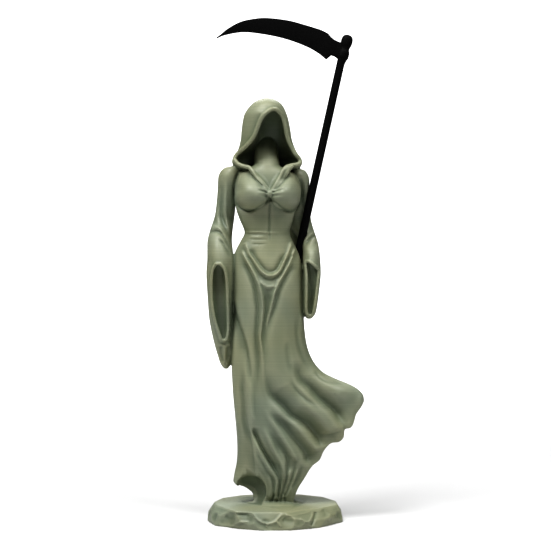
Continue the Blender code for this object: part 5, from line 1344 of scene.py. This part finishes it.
def bevel_share(back, edge):
    """How far from the blade's back to its edge the bevel's line is crossed."""
    shares = np.linspace(0.1, 0.9, 81)
    x, h = (back + (edge - back) * shares[:, None]).T
    x_line, h_line = np.array(BLADE_BEVEL).T
    return shares[np.abs(h - np.interp(x, x_line, h_line)).argmin()]


def blade(level, scythe):
    """The curved blade: full thickness along its back, thin at the cutting edge."""
    scale = scythe.blade_length / (DRAWN_BLADE * MM)
    thickness = scythe.blade_thickness / MM
    curved = spline(BLADE_STATIONS[:-TANG_STATIONS], 60)
    rings = []
    for back_x, back_h, edge_x, edge_h in np.vstack([curved, BLADE_STATIONS[-TANG_STATIONS:]]):
        back, edge = np.array([back_x, back_h]), np.array([edge_x, edge_h])
        in_tang = back_x > TANG_START
        bevel = back + (edge - back) * (TANG_BEVEL if in_tang else bevel_share(back, edge))
        taper = min(1.0, TIP_SHARE + (DRAWN_BLADE + back_x) / TIP_TAPER)
        thick = thickness * taper * (TANG_THICKENING if in_tang else 1.0) / 2
        thin = min(thick, BLADE_EDGE / 2) * (TANG_EDGE if in_tang else 1.0)
        ring = []
        for point, depth in ((back, -thick), (bevel, -thick), (edge, -thin),
                             (edge, thin), (bevel, thick), (back, thick)):
            ring.append(np.array(level) + (point[0] * scale, depth, point[1] * scale))
        rings.append(ring)
    return skin("blade", rings)


def whole_scythe(figure, scythe):
    """Shaft, collar and blade as one piece, standing in the hip's socket."""
    mouth, along = shaft_frame(figure, scythe)
    foot = mouth - along * scythe.socket_depth / MM
    end = foot + along * scythe.shaft_length / MM
    radius = scythe.shaft_diameter / 2 / MM
    made = round_bar("scythe_skin", [foot, end], [radius, radius], 48)
    aside = Vector((COLLAR_OFFSET, 0.0, 0.0))
    profile = spline(COLLAR_PROFILE, 50)
    path = [end + aside * (1 - COLLAR_LEAN * down) - along * down for down, _ in profile]
    swell = scythe.collar_diameter / MM / DRAWN_COLLAR
    made = cut(made, round_bar("collar", path, profile[:, 1] * swell, 48), "UNION")
    return cut(made, blade(end + Vector((0.0, 0.0, BLADE_RISE)), scythe), "UNION")


# Materials


GLOSS_SPREAD = 0.06  # how much rougher and smoother than its mean the plastic is in places
EVEN_LINES = 0.08  # how strong the print's even lines are beside the uneven bands
BANDS_PER_LINE = 0.35


def new_material(name):
    material = bpy.data.materials.new(name)
    material.use_nodes = True
    tree = material.node_tree
    return material, tree, tree.nodes["Principled BSDF"]


def print_lines(tree, along, finish):
    """The print's level lines: even fine ones, with uneven bands among them."""
    turns = add_node(tree, "ShaderNodeMath", (-1100, 300), operation="MULTIPLY")
    turns.inputs[1].default_value = 2 * math.pi / finish.layer_height
    even = add_node(tree, "ShaderNodeMath", (-900, 300), operation="SINE")
    uneven = add_node(tree, "ShaderNodeTexNoise", (-1100, 500), noise_dimensions="1D",
                      Scale=BANDS_PER_LINE / finish.layer_height, Detail=3.0, Roughness=0.65)
    share = add_node(tree, "ShaderNodeMath", (-700, 300), operation="MULTIPLY")
    share.inputs[1].default_value = EVEN_LINES
    both = add_node(tree, "ShaderNodeMath", (-500, 400), operation="ADD")
    tree.links.new(along, turns.inputs[0])
    join(tree, turns, 0, even, 0)
    tree.links.new(along, uneven.inputs["W"])
    join(tree, even, 0, share, 0)
    join(tree, share, 0, both, 0)
    join(tree, uneven, "Fac", both, 1)
    return both.outputs[0]


def tinted(tree, factor, low, high, span, place):
    """A colour that goes from low to high as a factor crosses a span."""
    shade = add_node(tree, "ShaderNodeMapRange", place, From_Min=span[0], From_Max=span[1])
    blend = add_node(tree, "ShaderNodeMix", (place[0] + 200, place[1]), data_type="RGBA")
    blend.inputs[6].default_value = (*low, 1.0)
    blend.inputs[7].default_value = (*high, 1.0)
    tree.links.new(factor, shade.inputs["Value"])
    join(tree, shade, 0, blend, 0)
    return blend.outputs[2]


def multiplied(tree, one, other, place):
    """Two colours multiplied; either may be a plain colour."""
    blend = add_node(tree, "ShaderNodeMix", place, data_type="RGBA", blend_type="MULTIPLY")
    blend.inputs[0].default_value = 1.0
    for socket, colour in ((blend.inputs[6], one), (blend.inputs[7], other)):
        if isinstance(colour, bpy.types.NodeSocket):
            tree.links.new(colour, socket)
        else:
            socket.default_value = colour
    return blend.outputs[2]


def printed(name, colour, roughness, finish, lines_along, relief):
    """The start of a printed plastic: its level lines as bump and as faint bands of
    tone, and an uneven gloss."""
    material, tree, shader = new_material(name)
    place = add_node(tree, "ShaderNodeTexCoord", (-1500, 0))
    axes = add_node(tree, "ShaderNodeSeparateXYZ", (-1300, 300))
    grain = add_node(tree, "ShaderNodeTexNoise", (-900, -700), Scale=900.0, Detail=2.0)
    gloss = add_node(tree, "ShaderNodeMapRange", (-350, -400), From_Min=0.3, From_Max=0.7)
    gloss.inputs["To Min"].default_value = roughness - GLOSS_SPREAD
    gloss.inputs["To Max"].default_value = roughness + GLOSS_SPREAD
    bump = add_node(tree, "ShaderNodeBump", (-350, 400), Distance=relief, Strength=0.8)
    join(tree, place, "Object", axes, 0)
    join(tree, place, "Object", grain, "Vector")
    lines = print_lines(tree, axes.outputs[lines_along], finish)
    join(tree, grain, "Fac", gloss, "Value")
    join(tree, gloss, 0, shader, "Roughness")
    tree.links.new(lines, bump.inputs["Height"])
    join(tree, bump, 0, shader, "Normal")
    bands = tinted(tree, lines, (0.95, 0.95, 0.95), (1.05, 1.05, 1.05), (0.3, 0.7), (-700, 0))
    return material, tree, shader, place, multiplied(tree, tuple(colour), bands, (-250, 0))


def sage_plastic(finish):
    """Matt sage print: yellower and bluer clouds, with painted highlights on crests and painted
    shade in hollows.
    """
    material, tree, shader, place, base = printed(
        "sage_plastic", finish.sage, 0.5, finish, lines_along=2, relief=0.00006)
    clouds = add_node(tree, "ShaderNodeTexNoise", (-900, -200), Scale=26.0, Detail=2.0)
    join(tree, place, "Object", clouds, "Vector")
    tint = tinted(
        tree, clouds.outputs["Fac"], (0.95, 1.0, 1.03), (1.05, 1.02, 0.9), (0.35, 0.65),
        (-700, -200))
    # Painted light and shade: points that stand proud are lightened in the base colour as if
    # catching light, and hollows are darkened as if in shade.
    proud = add_node(tree, "ShaderNodeAttribute", (-900, -450), attribute_name="proud")
    painted_crest_light_hollow_shade = tinted(
        tree, proud.outputs["Fac"], (0.72, 0.77, 0.70), (1.24, 1.21, 1.16), (-0.25, 0.25),
        (-700, -450))
    both = multiplied(tree, tint, painted_crest_light_hollow_shade, (-250, -250))
    tree.links.new(multiplied(tree, base, both, (-50, -100)), shader.inputs["Base Color"])
    return material


def black_plastic(finish):
    """Dull black print."""
    material, tree, shader, _, base = printed(
        "black_plastic", finish.black, 0.6, finish, lines_along=1, relief=0.00002)
    shader.inputs["Specular IOR Level"].default_value = 0.06
    tree.links.new(base, shader.inputs["Base Color"])
    return material


FLOOR_FADES = (0.25, 0.85)  # where the paper melts into the white behind it, start and end
FLOOR = [(-1.2, -0.6, 0), (1.2, -0.6, 0), (1.2, 0.9, 0), (-1.2, 0.9, 0)]
# Each soft box: its name, its place, what it looks at and its width
SOFT_BOXES = (
    ("key", (-0.35, -0.36, 0.77), (0.0, 0.0, 0.1), 0.35),
    ("fill", (0.37, -0.36, 0.77), (0.0, 0.0, 0.1), 0.35),
    ("back", (0.0, 0.9, 0.9), (0.0, 0.7, 0.0), 0.7),
)


def floor_material():
    """Plain pale paper that melts into the white at its far end."""
    material, tree, shader = new_material("pale_floor")
    shader.inputs["Base Color"].default_value = (0.6, 0.6, 0.6, 1.0)
    shader.inputs["Roughness"].default_value = 0.9
    place = add_node(tree, "ShaderNodeTexCoord", (-700, -200))
    axes = add_node(tree, "ShaderNodeSeparateXYZ", (-500, -200))
    far = add_node(tree, "ShaderNodeMapRange", (-300, -200), interpolation_type="SMOOTHSTEP",
                   From_Min=FLOOR_FADES[0], From_Max=FLOOR_FADES[1])
    clear = add_node(tree, "ShaderNodeBsdfTransparent", (-100, -400))
    either = add_node(tree, "ShaderNodeMixShader", (350, 0))
    join(tree, place, "Object", axes, 0)
    join(tree, axes, "Y", far, "Value")
    join(tree, far, 0, either, 0)
    join(tree, shader, 0, either, 1)
    join(tree, clear, 0, either, 2)
    tree.links.new(either.outputs[0], tree.nodes["Material Output"].inputs["Surface"])
    return material


def dress(target, material):
    target.data.materials.clear()
    target.data.materials.append(material)
    target.data.polygons.foreach_set("material_index", [0] * len(target.data.polygons))


# Operators


class ReaperOperator:
    bl_options = {"REGISTER", "UNDO"}


class REAPER_OT_robed_figure(ReaperOperator, bpy.types.Operator):
    """Makes the robed figure and its rock base"""

    bl_idname = "reaper.robed_figure"
    bl_label = "Robed Figure"

    def execute(self, context):
        settings = context.scene
        made = robed_figure(settings.reaper_figure, settings.reaper_scythe)
        made.name = "robed_figure_skin"
        finish = settings.reaper_finish
        dress(made, sage_plastic(finish))
        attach(made, "root")
        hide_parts("robed_figure")
        return {"FINISHED"}


class REAPER_OT_scythe(ReaperOperator, bpy.types.Operator):
    """Makes the scythe with its collar and blade"""

    bl_idname = "reaper.scythe"
    bl_label = "Scythe"

    def execute(self, context):
        settings = context.scene
        made = whole_scythe(settings.reaper_figure, settings.reaper_scythe)
        made.name = "scythe_skin"
        made.data.shade_smooth()
        made.data.set_sharp_from_angle(angle=math.radians(35))
        finish = settings.reaper_finish
        dress(made, black_plastic(finish))
        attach(made, "root")
        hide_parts("scythe")
        return {"FINISHED"}


class REAPER_OT_stage(ReaperOperator, bpy.types.Operator):
    """Makes the pale floor, the soft lights and the camera"""

    bl_idname = "reaper.stage"
    bl_label = "Studio"

    def execute(self, context):
        scene = context.scene
        stage = scene.reaper_stage
        mesh = bpy.data.meshes.new("floor")
        mesh.from_pydata(FLOOR, [], [(0, 1, 2, 3)])
        floor = new_object("floor", mesh)
        floor.data.materials.append(floor_material())
        for name, place, target, size in SOFT_BOXES:
            soft_light(name, place, target, size, getattr(stage, name + "_strength"))
        overhead_light(stage.overhead_strength)
        sky(scene, stage.sky_strength)
        lens = bpy.data.cameras.new("front_camera")
        camera = new_object("front_camera", lens)
        camera.location = (0.0, -stage.eye_distance, stage.eye_height)
        camera.rotation_euler = (math.pi / 2, 0.0, 0.0)
        lens.sensor_width = 36.0
        lens.lens = lens.sensor_width * stage.eye_distance / stage.view_width
        lens.clip_end = 30.0
        scene.camera = camera
        scene.view_settings.view_transform = "Standard"
        scene.view_settings.look = "High Contrast"
        scene.view_settings.exposure = 0.32
        return {"FINISHED"}


def soft_light(name, place, target, size, strength):
    """A square soft box that looks from one place to another."""
    light = bpy.data.lights.new(name, "AREA")
    light.energy = strength
    light.size = size
    made = new_object(name, light)
    made.location = place
    aim = Vector(target) - Vector(place)
    made.rotation_euler = aim.to_track_quat("-Z", "Y").to_euler()


def overhead_light(strength):
    """A broad light from nearly straight above, which falls alike on all the paper."""
    light = bpy.data.lights.new("overhead", "SUN")
    light.energy = strength
    light.angle = math.radians(30)
    made = new_object("overhead", light)
    made.rotation_euler = (math.radians(14), 0.0, 0.0)


def sky(scene, strength):
    """White all round for the eye, and a weaker even light on the figure."""
    world = bpy.data.worlds.new("studio")
    scene.world = world
    world.use_nodes = True
    tree = world.node_tree
    tree.nodes.clear()
    seen = add_node(tree, "ShaderNodeLightPath", (-400, 200))
    even = add_node(tree, "ShaderNodeBackground", (-200, 0), Strength=strength)
    white = add_node(tree, "ShaderNodeBackground", (-200, -200), Strength=1.0)
    for node in (even, white):
        node.inputs["Color"].default_value = (1.0, 1.0, 1.0, 1.0)
    either = add_node(tree, "ShaderNodeMixShader", (0, 0))
    out = add_node(tree, "ShaderNodeOutputWorld", (200, 0))
    join(tree, seen, "Is Camera Ray", either, 0)
    join(tree, even, 0, either, 1)
    join(tree, white, 0, either, 2)
    join(tree, either, 0, out, "Surface")


class REAPER_PT_panel(bpy.types.Panel):
    """Lists the figurine's makers"""

    bl_idname = "REAPER_PT_panel"
    bl_label = "Reaper Figurine"
    bl_space_type = "VIEW_3D"
    bl_region_type = "UI"
    bl_category = "Reaper"

    def draw(self, context):
        for operator in OPERATORS:
            self.layout.operator(operator.bl_idname)
        for name in SETTINGS:
            settings = getattr(context.scene, name)
            box = self.layout.box()
            for title in settings.__annotations__:
                box.prop(settings, title)


OPERATORS = (REAPER_OT_robed_figure, REAPER_OT_scythe, REAPER_OT_stage)
SETTINGS = {
    "reaper_figure": ReaperFigureSettings,
    "reaper_scythe": ReaperScytheSettings,
    "reaper_finish": ReaperFinishSettings,
    "reaper_stage": ReaperStageSettings,
}


def register():
    for group in SETTINGS.values():
        bpy.utils.register_class(group)
    for operator in OPERATORS:
        bpy.utils.register_class(operator)
    bpy.utils.register_class(REAPER_PT_panel)
    for name, group in SETTINGS.items():
        setattr(bpy.types.Scene, name, PointerProperty(type=group))


def unregister():
    for name in SETTINGS:
        delattr(bpy.types.Scene, name)
    bpy.utils.unregister_class(REAPER_PT_panel)
    for operator in reversed(OPERATORS):
        bpy.utils.unregister_class(operator)
    for group in reversed(list(SETTINGS.values())):
        bpy.utils.unregister_class(group)


def main():
    register()
    bpy.ops.reaper.robed_figure()
    bpy.ops.reaper.scythe()
    bpy.ops.reaper.stage()


if __name__ == "__main__":
    main()
